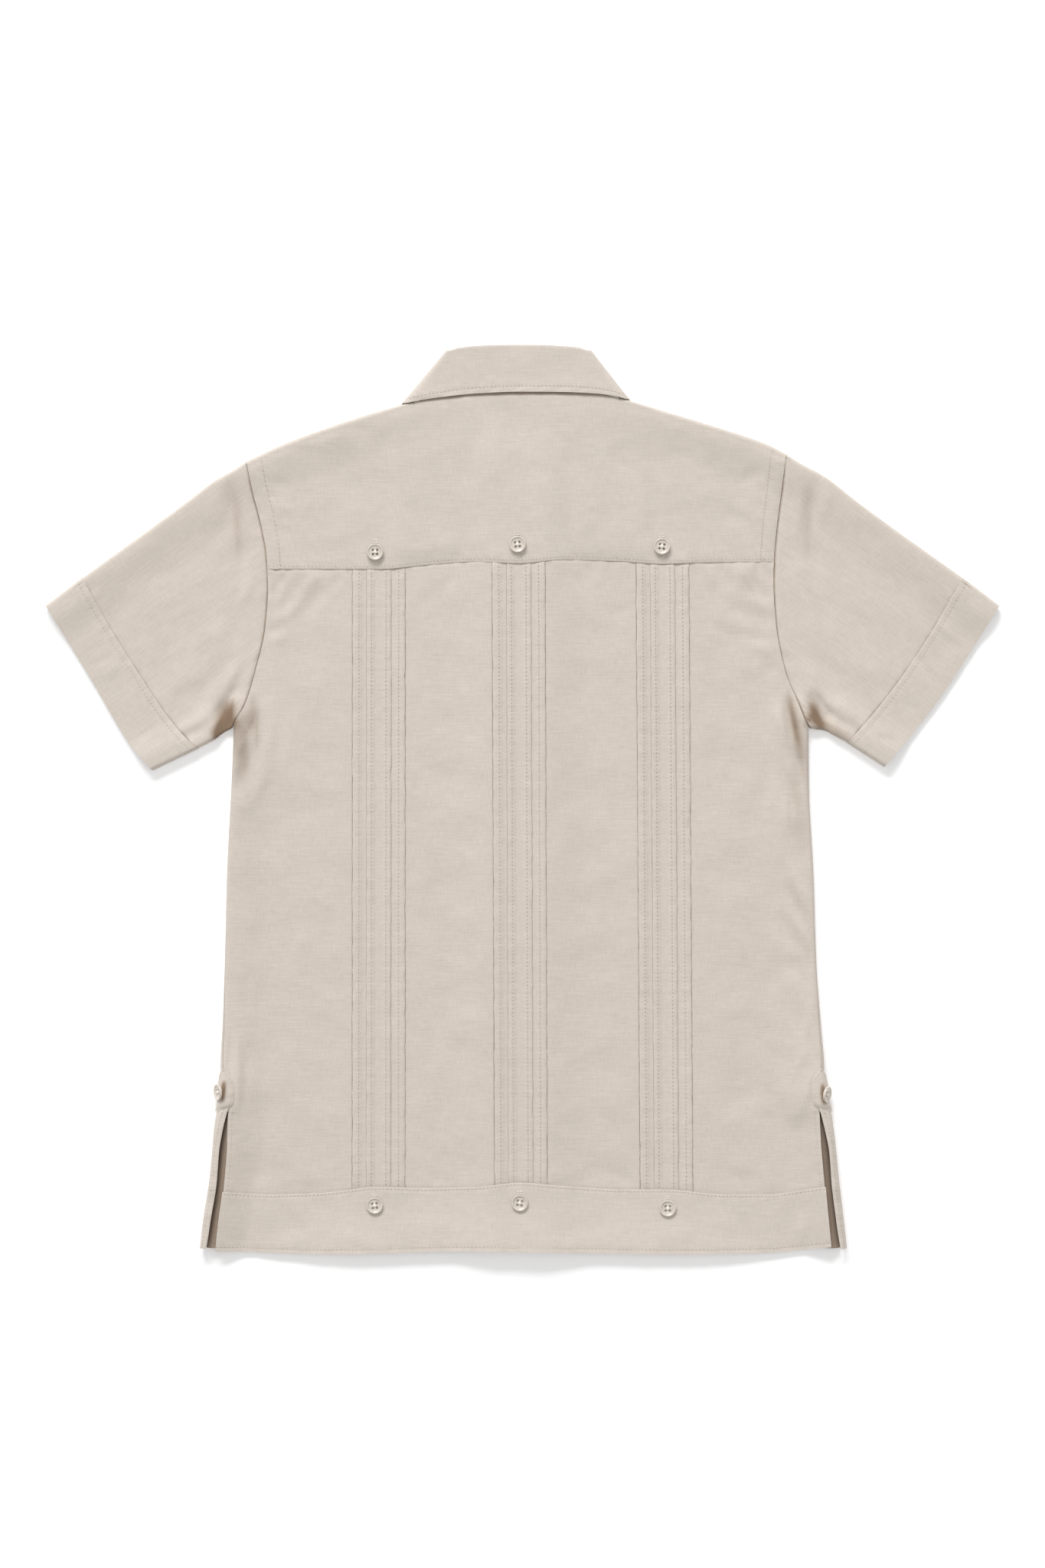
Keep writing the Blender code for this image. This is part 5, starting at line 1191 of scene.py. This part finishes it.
def tube_ring(plan, low, lift, arcs=9):
    """A flattened tube's ring from its plan line: upper cloth, under fold, lower cloth, top fold."""
    top = top_z(plan[:, 0], plan[:, 1]) + lift
    upper = np.column_stack([plan, top])
    lower = np.column_stack([plan[::-1], np.full(len(plan), low)])
    parts = [upper]
    for end, before, z_top, upwards in ((plan[-1], plan[-2], top[-1], False), (plan[0], plan[1], top[0], True)):
        out = (end - before) / np.linalg.norm(end - before)
        radius = (z_top - low) / 2
        turn = np.radians(90.0 - 180.0 * np.arange(1, arcs) / arcs)
        arc = np.column_stack([end[None, :] + out[None, :] * (radius * np.cos(turn))[:, None],
                               low + radius + radius * np.sin(turn)])
        parts += [arc, lower] if not upwards else [arc[::-1]]
    ring = np.concatenate(parts)
    return np.concatenate([ring, ring[:1]])


def armhole_plan(side, count):
    start = armhole_start(side)
    levels = start.y + (ARMPIT - start.y) * np.linspace(0, 1, count)
    return np.column_stack([armhole(side, levels) + sign(side) * ARM_GAP, levels])


COUNT = 60                      # points across the upper cloth of a sleeve or a cuff
CUFF_STITCH = 4.3               # the cuff's stitching, down from its seam


def along_sleeve(side, x, y):
    """Cloth coordinates of a sleeve and its cuff: the threads run straight down the arm."""
    across, up = SLEEVE_WAY
    out = sign(side)
    return (x * out * across - y * up), (y * across + x * out * up)


def upper_share(rings, soft):
    """1 on the upper cloth of a tube's rings, going softly to 0 at its folds."""
    columns = np.arange(COUNT)
    upper = np.zeros((1, rings.shape[1]))
    upper[:, :COUNT] = smooth(np.minimum(columns, COUNT - 1 - columns) / soft)
    return upper


def build_sleeves():
    for side in ("left", "right"):
        out = sign(side)
        even = np.linspace(0, 1, COUNT)
        start, seam = armhole_plan(side, COUNT), resample(CUFF_SEAMS[side], even)
        shoulder, under = np.array(SHOULDERS[side])[4:8, :2], np.array(UNDERARMS[side])[:3, :2]
        rings = []
        shares = np.concatenate([(0.0, 0.006, 0.012, 0.02, 0.036), np.linspace(0.055, 0.975, 43), (0.988, 0.994, 1.0)])
        for s in shares:
            plain = start + (seam - start) * s
            up = resample(shoulder, [s])[0] - plain[0]
            down = resample(under, [s])[0] - plain[-1]
            plain = plain + up * (1 - even)[:, None] + down * even[:, None]
            whole = resample(plain, even, (2.1 + 1.6 * falloff(s - 0.04, 0.2), 3.7 - 0.2 * s))
            whole = start + (whole - start) * smooth(s / 0.1)
            rings.append(tube_ring(whole, WALL / 2, 0.0))
        g = np.stack(rings)
        x, y = g[..., 0], g[..., 1]
        upper = upper_share(g, 2.5)
        around = lengths_along(g, 1)
        from_seam = lengths_along(g, 0)
        from_cuff = from_seam[-1:] - from_seam
        rise = creased(SLEEVE_CREASES[side], x, y) + 0.22 * ripple(x, y, 40.0, 3) + 0.08 * ripple(x, y, 15.0, 6)
        rise += pucker(around, from_seam, 11.0, 0.3, 4, 10.0) + pucker(around, from_cuff, 12.0, 0.3, 9, 9.0)
        rise -= 0.75 * falloff(from_seam, 1.8) - 0.25 * ridge(from_seam, 3.0, 1.8)
        g[..., 2] = np.where(upper > 0, np.maximum(g[..., 2] + rise * upper, 1.4), g[..., 2])
        g[..., 0] -= out * 0.9 * falloff(from_seam, 1.6) * upper
        g[..., 2] -= 0.15 * falloff(from_seam, 2.0) * upper
        g[..., 2] -= 0.5 * falloff(from_cuff, 1.6) * upper
        # painted shade: a dark line on the sleeve at the cuff seam and another along the armhole seam, where the seams
        # lie in shadow
        cuff_seam_shade = 0.75 * falloff(from_cuff - 0.1, 0.9) * (0.75 + 0.25 * ripple(x, y, 14.0, 2))
        deep = np.maximum(shaded(x, y), cuff_seam_shade)
        deep = np.maximum(deep, 0.9 * falloff(from_seam - 0.6, 0.5) * smooth((240.0 - y) / 20.0))
        u, v = along_sleeve(side, x, y)
        sheet("sleeve_" + side, [patch(g, from_seam + 2.0, around, u=u, v=v, deep=deep)], CLOTH)


def build_cuffs():
    for side in ("left", "right"):
        out = sign(side)
        even = np.linspace(0, 1, COUNT)
        seam, end = resample(CUFF_SEAMS[side], even), resample(CUFF_ENDS[side], even)
        rings = []
        shares = np.concatenate([(0.0, 0.02, 0.05, 0.09, 0.13, 0.17), np.linspace(0.22, 0.97, 12), (1.0,)])
        for s in shares:
            line = resample(seam + (end - seam) * s, even, (1.9 + 0.6 * s, 3.7))
            line = line - np.array((out * 0.5, -0.2)) * (1.0 - s)
            rings.append(tube_ring(line, 0.7, 0.2))
        g = np.stack(rings)
        x, y = g[..., 0], g[..., 1]
        upper = upper_share(g, 5.0)
        around, inward = lengths_along(g, 1), lengths_along(g, 0)
        outward = inward[-1:] - inward
        rise = 0.75 + 0.2 * ripple(x, y, 34.0, 5) + pucker(around, inward, 10.0, 0.22, 8, 9.0)
        rise += pucker(around, outward, 6.0, 0.16, 3, 14.0) + creased(CUFF_CREASES, x, y)
        rise -= 0.3 * falloff(inward, 0.9) + 0.15 * ridge(inward, CUFF_STITCH, 1.1)
        g[..., 2] += rise * upper
        u, v = along_sleeve(side, x, y)
        sheet("cuff_" + side, [patch(g, np.abs(inward - CUFF_STITCH), around, u=u, v=v)], BANDED,
              DOUBLED)
        line = [point_at(CUFF_STITCH, inward[:, k], g[:, k]) for k in range(COUNT)]
        stitch_line("cuff_stitching", line, proud=DOUBLED / 2)


# Collar


COLLAR_STITCH = 4.0             # the leaf's stitching, in from its edge


def collar_axis(y):
    return float(np.interp(y, [278.0, 316.0], [-4.7, -2.5]))


def edge_round_shoulder(side, x_out, turn):
    _, _, top, bottom = shoulder_fold(side, 1.0)
    radius = (top - bottom) / 2
    x = -4.7 + sign(side) * x_out
    line = SHOULDERS[side][:3]
    fold_y = float(np.interp(abs(x), [abs(p[0]) for p in line], [p[1] for p in line]))
    return Vector((x, fold_y - radius - WALL / 2 + (radius + LAYER) * math.cos(math.radians(turn))))


def neck_stations(side, seams):
    out = sign(side)
    _, rest = yoke_column(side, 1.0, arcs=4, fronts=2)
    seam = [(x, float(neck_y(x)), float(top_z(x, float(neck_y(x))))) for x in (CENTRE,) + NECK_HEADS[side]]
    seam += [tuple(p) for p in rest]
    for from_centre in (68.0, 51.0, 34.0, 17.0, 6.0):
        x = CENTRE + out * from_centre
        y = float(front_top(side, x, seams))
        seam.append((x, y, float(front_z(side, x, y))))
    rows = [(90.0, row) for row in COLLAR_BACK] + [(turn, None) for turn in (45.0, 0.0, -45.0)]
    rows += [(-90.0, row) for row in COLLAR_FRONT]
    stations = []
    for (turn, row), base in zip(rows, seam):
        if row:
            top_x, top_y, outer_x, outer_y = row
            x = collar_axis(top_y) + out * top_x
            top = Vector((x, top_y, 3.7 if turn > 0 else float(front_z(side, x, top_y))))
            if outer_y is None:
                outer = edge_round_shoulder(side, outer_x, turn)
            else:
                outer = Vector((collar_axis(outer_y) + out * outer_x, outer_y))
            if turn > 0:
                outer.y = float(edge_y(LEAF_EDGE, outer.x))
        else:
            round_by, before = math.radians(turn), (90.0 - turn) / 180.0
            flat = Vector(COLLAR_BACK[-1][:2]).lerp(Vector(COLLAR_FRONT[0][:2]), before)
            low, high = FLOOR_CLOTH + LAYER, 3.7
            half = (high - low) / 2
            flat += Vector((0.8, 0.6)) * (half * math.cos(round_by))
            top = Vector((collar_axis(flat.y) + out * flat.x, flat.y, (low + high) / 2 + half * math.sin(round_by)))
            outer = edge_round_shoulder(side, COLLAR_EDGE_X[(45.0, 0.0, -45.0).index(turn)], turn)
        stations.append((turn, Vector(base), top, outer))
    return stations


def dense(rows, count_along, count_across):
    """A coarse grid of points drawn again as a fine one by smooth curves both ways."""
    g = np.array(rows, float)
    for count in (count_along, count_across):
        steps = np.linalg.norm(np.diff(g, axis=0), axis=2).mean(axis=1)
        run = np.concatenate([[0.0], np.cumsum(steps)])
        g = spline(run, g, np.linspace(0, run[-1], count) if np.ndim(count) == 0 else count * run[-1])
        g = g.transpose(1, 0, 2)
    return g


def build_collar(seams):
    left = [("left", s) for s in neck_stations("left", seams)]
    stations = left[::-1] + [("right", s) for s in neck_stations("right", seams)[1:]]
    rows = []
    for _, (_, base, top, _) in stations:
        start = base + (top - base).normalized() * 0.36
        rows.append([tuple(start.lerp(top, share)) for share in (0.0, 0.5, 1.0)])
    lap_left = [(CENTRE + 11.0, y, FLOOR_CLOTH + PLACKET_LIFT) for _, y, _ in rows[0]]
    lap_right = [(CENTRE - 11.0, y, FLOOR_CLOTH + PLACKET_LIFT + LAYER) for _, y, _ in rows[-1]]
    g = dense([lap_left] + rows + [lap_right], 190, 12)
    sheet("collar_stand", [patch(g.transpose(1, 0, 2))], BANDED, SHELL)

    rows = []
    for side, (turn_deg, base, top, free) in stations:
        turn = math.radians(turn_deg)
        level_out = Vector((0.8, 0.6)) * math.cos(turn)
        outside = Vector((sign(side) * level_out.x, level_out.y, math.sin(turn))) * LAYER
        if turn_deg < -89.0:
            outside.z = float(front_z("left", top.x, top.y)) - LAYER - top.z
        rise = Vector((top.x - free.x, top.y - free.y, 0.0)).normalized()
        row = [top + rise * 0.45, top + rise * 0.9, top + rise * 1.5 + outside / 2, top + rise * 0.9 + outside,
               top + outside]
        if turn_deg > 89.0:
            z_free = float(top_z(free.x, free.y)) + LAYER
        elif turn_deg < -89.0:
            z_free = FLOOR_CLOTH
        else:
            _, _, high, low = shoulder_fold(side, 1.0)
            z_free = (high + low) / 2 + ((high - low) / 2 + LAYER) * math.sin(turn)
        start, end = row[-1], Vector((free.x, free.y, z_free))
        for share in (0.3, 0.65, 1.0):
            here = start.lerp(end, share)
            if turn_deg < -89.0:
                lift = float(front_z("left", here.x, here.y)) - LAYER - FLOOR_CLOTH
                here.z = FLOOR_CLOTH + 0.6 * max(0.0, lift)
            row.append(here)
        rows.append([tuple(point) for point in row])
    g = dense(rows, 250, np.concatenate([np.linspace(0, 0.12, 8), np.linspace(0.16, 0.82, 20),
                                         np.linspace(0.845, 1.0, 9)]))
    g = g.transpose(1, 0, 2)
    x, y, z = g[..., 0], g[..., 1], g[..., 2]
    to_edge = lengths_along(g[::-1], 0)[::-1]
    upper = smooth((z - 3.2) / 1.0) * smooth((y - 279.0) / 4.0)
    run = lengths_along(g, 1)
    rise = 0.25 * ripple(x, y, 36.0, 2) + pucker(run, to_edge, 7.0, 0.18, 5)
    rise -= 0.1 * ridge(to_edge, COLLAR_STITCH, 1.5)
    g[..., 2] = z + (rise + 0.35 * falloff(to_edge - 1.0, 12.0)) * upper
    g[..., 2] = np.maximum(g[..., 2], DOUBLED / 2 + 0.02)
    sheet("collar_leaf", [patch(g, to_edge - COLLAR_STITCH, x.copy())], BANDED,
          DOUBLED)
    line = np.array([point_at(COLLAR_STITCH, to_edge[::-1, k], g[::-1, k]) for k in range(g.shape[1])])
    top_side = (line[:, 2] > 3.4) & (line[:, 1] > 278.0)
    stitch_line("collar_stitching", line[top_side], proud=DOUBLED / 2)


# Vent patches


# level and half width of a patch
PATCH_ROWS = ((-187.2, 0.8), (-191.5, 4.0), (-197.0, 7.6), (-204.0, 8.6), (-210.0, 8.4), (-217.4, 7.2))


def patch_point(side, level, run):
    out = sign(side)
    swell = math.sin(math.pi * min(max((-189.0 - level) / 30.0, 0.0), 1.0)) ** 1.4
    outermost = float(side_at(side, level)) + out * 3.0 * swell
    outer = float(side_at("height", level)) / 2
    lap = float(side_at("front_lap", -196.0))
    seam = math.acos(1.0 - lap / outer)
    moved = outer - WALL / 2 + LAYER
    angle = seam + run / moved
    centre_x = outermost - out * outer
    if angle > math.pi / 2:
        x = centre_x - out * (angle - math.pi / 2) * moved
        return x, level, float(top_z(x, level)) + LAYER
    return centre_x + out * moved * math.cos(angle), level, outer + moved * math.sin(angle)


def build_vent_patches():
    levels = np.linspace(-187.2, -217.4, 24)
    halves = spline([-row[0] for row in PATCH_ROWS], [row[1] for row in PATCH_ROWS], -levels)
    steps = np.linspace(-1, 1, 17)
    for side in ("left", "right"):
        g = np.array([[patch_point(side, level, half * k) for k in steps] for level, half in zip(levels, halves)])
        across = np.abs(steps)[None, :] * halves[:, None]
        off = np.abs(halves[:, None] - across - 1.6)
        g[..., 2] -= 1.7 * smooth((-212.6 - levels) / 4.2)[:, None] + 0.85 * np.abs(steps)[None, :] ** 5
        if side == "left":
            g, off = g[:, ::-1], off[:, ::-1]
        sheet("vent_patch_" + side, [patch(g, off, -levels[:, None] + 0 * off)], BANDED,
              SHELL)
        for edge in (2, 14):
            stitch_line("vent_stitching", g[3:-4, edge], up=(0.4 * sign(side), 0, 1))


# Buttons


def select_facing(data, way):
    """Select the faces of a mesh in edit mode that look up (1) or down (-1)."""
    bpy.ops.mesh.select_all(action="DESELECT")
    work = bmesh.from_edit_mesh(data)
    for face in work.faces:
        face.select = face.normal.z * way > 0.9
    bmesh.update_edit_mesh(data)


def shirt_button():
    """A four-hole button with a raised rim and a dished face, its back at z 0, in metres."""
    bpy.ops.object.select_all(action="DESELECT")
    bpy.ops.mesh.primitive_cylinder_add(vertices=48, radius=BUTTON_RADIUS * MM, depth=BUTTON_HEIGHT * MM,
                                        location=(0, 0, BUTTON_HEIGHT * MM / 2))
    blank = bpy.context.object
    blank.name = "button_blank"
    bpy.ops.object.transform_apply(location=True)
    bpy.ops.object.mode_set(mode="EDIT")
    select_facing(blank.data, 1)
    for inset, drop in ((0.85, 0.0), (0.75, -0.62), (0.9, -0.22), (1.3, 0.0)):
        bpy.ops.mesh.inset(thickness=inset * MM, depth=drop * MM)
    select_facing(blank.data, -1)
    bpy.ops.mesh.inset(thickness=1.15 * MM, depth=0.0)
    bpy.ops.object.mode_set(mode="OBJECT")
    for vertex in blank.data.vertices:
        if vertex.co.z < 0.0001 and vertex.co.xy.length > 5.0 * MM:
            vertex.co.z = 0.9 * MM
    rounding = blank.modifiers.new("Rounding", "BEVEL")
    rounding.width, rounding.segments, rounding.limit_method = 0.42 * MM, 3, "ANGLE"
    rounding.angle_limit = math.radians(25.0)
    bpy.ops.object.modifier_apply(modifier="Rounding")
    for x, y in ((-1.5, -1.5), (-1.5, 1.5), (1.5, -1.5), (1.5, 1.5)):
        bpy.ops.object.select_all(action="DESELECT")
        bpy.ops.mesh.primitive_cylinder_add(vertices=16, radius=0.9 * MM, depth=10 * MM,
                                            location=(x * MM, y * MM, 0))
        drill = bpy.context.object
        hole = blank.modifiers.new("Hole", "BOOLEAN")
        hole.operation, hole.object = "DIFFERENCE", drill
        bpy.ops.object.select_all(action="DESELECT")
        bpy.context.view_layer.objects.active = blank
        bpy.ops.object.modifier_apply(modifier="Hole")
        bpy.data.objects.remove(drill)
    blank.data.shade_smooth()
    blank.data.set_sharp_from_angle(angle=math.radians(32.0))
    blank.data.materials.clear()
    blank.data.materials.append(BUTTON)
    return blank


def button_thread():
    """The thread that holds a button on: two strands each way, wound to a small knot in the middle."""
    work = bmesh.new()
    knot = bmesh.ops.create_uvsphere(work, u_segments=18, v_segments=10, radius=1.0 * MM)["verts"]
    for vertex in knot:
        vertex.co = Vector((vertex.co.x * 1.05, vertex.co.y * 1.3, vertex.co.z * 0.62 + 1.75 * MM))
    for turn, lift in ((45.0, 0.0), (135.0, 0.16)):
        for strand in (-0.17, 0.17):
            loops, steps, around = [], 11, 7
            for k in range(steps + 1):
                t = -1.0 + 2.0 * k / steps
                reach = 1.6 * t
                height = 1.45 + (0.5 + lift) * (1.0 - abs(t) ** 3.0) - (1.4 if abs(t) > 0.99 else 0.0)
                ring = []
                for n in range(around):
                    a = 2 * math.pi * n / around
                    point = Vector((reach, strand + 0.16 * math.cos(a), height + 0.16 * math.sin(a)))
                    ring.append(work.verts.new(Matrix.Rotation(math.radians(turn), 3, "Z") @ point * MM))
                loops.append(ring)
            for a, b in zip(loops, loops[1:]):
                for n in range(around):
                    after = (n + 1) % around
                    work.faces.new((a[n], b[n], b[after], a[after]))
            work.faces.new(loops[0])
            work.faces.new(loops[-1][::-1])
    bmesh.ops.recalc_face_normals(work, faces=work.faces[:])
    data = bpy.data.meshes.new("button_thread")
    work.to_mesh(data)
    work.free()
    data.materials.append(BRIGHT_THREAD)
    data.shade_smooth()
    return data


def facing_of(node):
    """The way a CAD button faces, read off the largest flat side of its own mesh: its back."""
    faces = {}
    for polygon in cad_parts[node].data.polygons:
        key = tuple(np.round(polygon.normal, 2))
        faces[key] = faces.get(key, 0.0) + polygon.area
    return -Vector(max(faces, key=faces.get)).normalized()


def build_buttons():
    blank, cross = shirt_button(), button_thread()
    names = [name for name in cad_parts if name.startswith("button_")]
    for number, name in enumerate(sorted(names)):
        low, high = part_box(name)
        middle = (low + high) / 2
        if name == "button_vent_right":
            middle.x -= 1.0 * MM
        if name.startswith("button_vent"):
            facing = facing_of(name)
            out = sign("left" if name.endswith("left") else "right")
            if facing.x * out < 0:
                facing = -facing
        elif name.startswith("button_front") or name == "button_collar":
            facing = Vector((0, 0, -1))
        else:
            facing = Vector((0, 0, 1))
        turn = facing.to_track_quat("Z", "Y").to_matrix().to_4x4()
        turn = turn @ Matrix.Rotation(math.radians(8.0 * math.sin(2.1 * number)), 4, "Z")
        turn = Matrix.Translation(middle - facing * (BUTTON_HEIGHT * MM / 2)) @ turn
        data = blank.data.copy()
        data.transform(turn)
        piece = linked(name + "_shell", data)
        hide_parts(name)
        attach(piece, "root")
        data = cross.copy()
        data.transform(turn)
        tie = linked(name + "_thread", data)
        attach(tie, "root")
    bpy.data.objects.remove(blank)


def bartacks():
    """Short bars of close stitches at the ends of the upright buttonholes."""
    for group, places, bars in (("yoke", YOKE_BUTTONS, ((-8.0, 1.6), (6.8, 2.1), (8.6, 2.2))),
                                ("hem", HEM_BUTTONS, ((6.5, 1.8), (7.9, 1.9)))):
        for x, y in places:
            for away, half in bars:
                for k in range(3):
                    level = y + away + 0.3 * (k - 1)
                    near = np.argmin(np.hypot(TOPS[group][:, 0] - x, TOPS[group][:, 1] - level))
                    z = TOPS[group][near, 2] + 0.1
                    stitch_line("bartacks", [(x + half * (2 * j - 1) / 2 - half / 2, level, z) for j in (0, 1, 2)],
                                proud=DOUBLED / 2, pitch=half * 0.98)


# Stage, light and camera


# in metres: place, size both ways, power; both lights are turned to the shirt's middle
LIGHTS = (("window", (-1.8, 7.4, 5.0), 5.0, 2.6, 680.0),
          ("overhead", (0.0, -0.1, 3.6), 3.0, 3.0, 20.0))
CAMERA_PLACE = (0.0, 0.0112, 3.004)     # in metres; the camera looks straight down
FLOOR_GLOW, ROOM_LIGHT = 0.17, 0.50


def build_stage():
    bpy.ops.object.select_all(action="DESELECT")
    bpy.ops.mesh.primitive_plane_add(size=12.0, location=(0, 0, -0.0001))
    floor = bpy.context.object
    floor.name = "floor"
    pale, _, shader = bare_material("pale_floor", 0.95)
    shader.inputs["Base Color"].default_value = (0.96, 0.96, 0.96, 1.0)
    shader.inputs["Specular IOR Level"].default_value = 0.1
    shader.inputs["Emission Color"].default_value = (1.0, 1.0, 1.0, 1.0)
    shader.inputs["Emission Strength"].default_value = FLOOR_GLOW
    floor.data.materials.append(pale)

    world = bpy.data.worlds.new("soft_room")
    world.use_nodes = True
    world.node_tree.nodes["Background"].inputs["Color"].default_value = (1.0, 1.0, 1.0, 1.0)
    world.node_tree.nodes["Background"].inputs["Strength"].default_value = ROOM_LIGHT
    bpy.context.scene.world = world
    for name, place, width, depth, power in LIGHTS:
        light = bpy.data.lights.new(name, "AREA")
        light.shape, light.size, light.size_y, light.energy = "RECTANGLE", width, depth, power
        lamp = linked(name, light)
        lamp.location = place
        lamp.rotation_euler = (Vector() - Vector(place)).to_track_quat("-Z", "Y").to_euler()

    camera = bpy.data.cameras.new("camera")
    camera.lens, camera.sensor_width, camera.sensor_fit = 98.57, 36.0, "AUTO"
    camera.clip_end = 20.0
    seen = linked("camera", camera)
    seen.location = CAMERA_PLACE
    bpy.context.scene.camera = seen
    bpy.context.scene.view_settings.view_transform = "Standard"


build_stage()
build_back()
build_hem_back()
SEAMS = build_yoke()
build_fronts(SEAMS)
build_sleeves()
build_cuffs()
build_collar(SEAMS)
build_vent_patches()
build_buttons()
bartacks()
lay_threads()
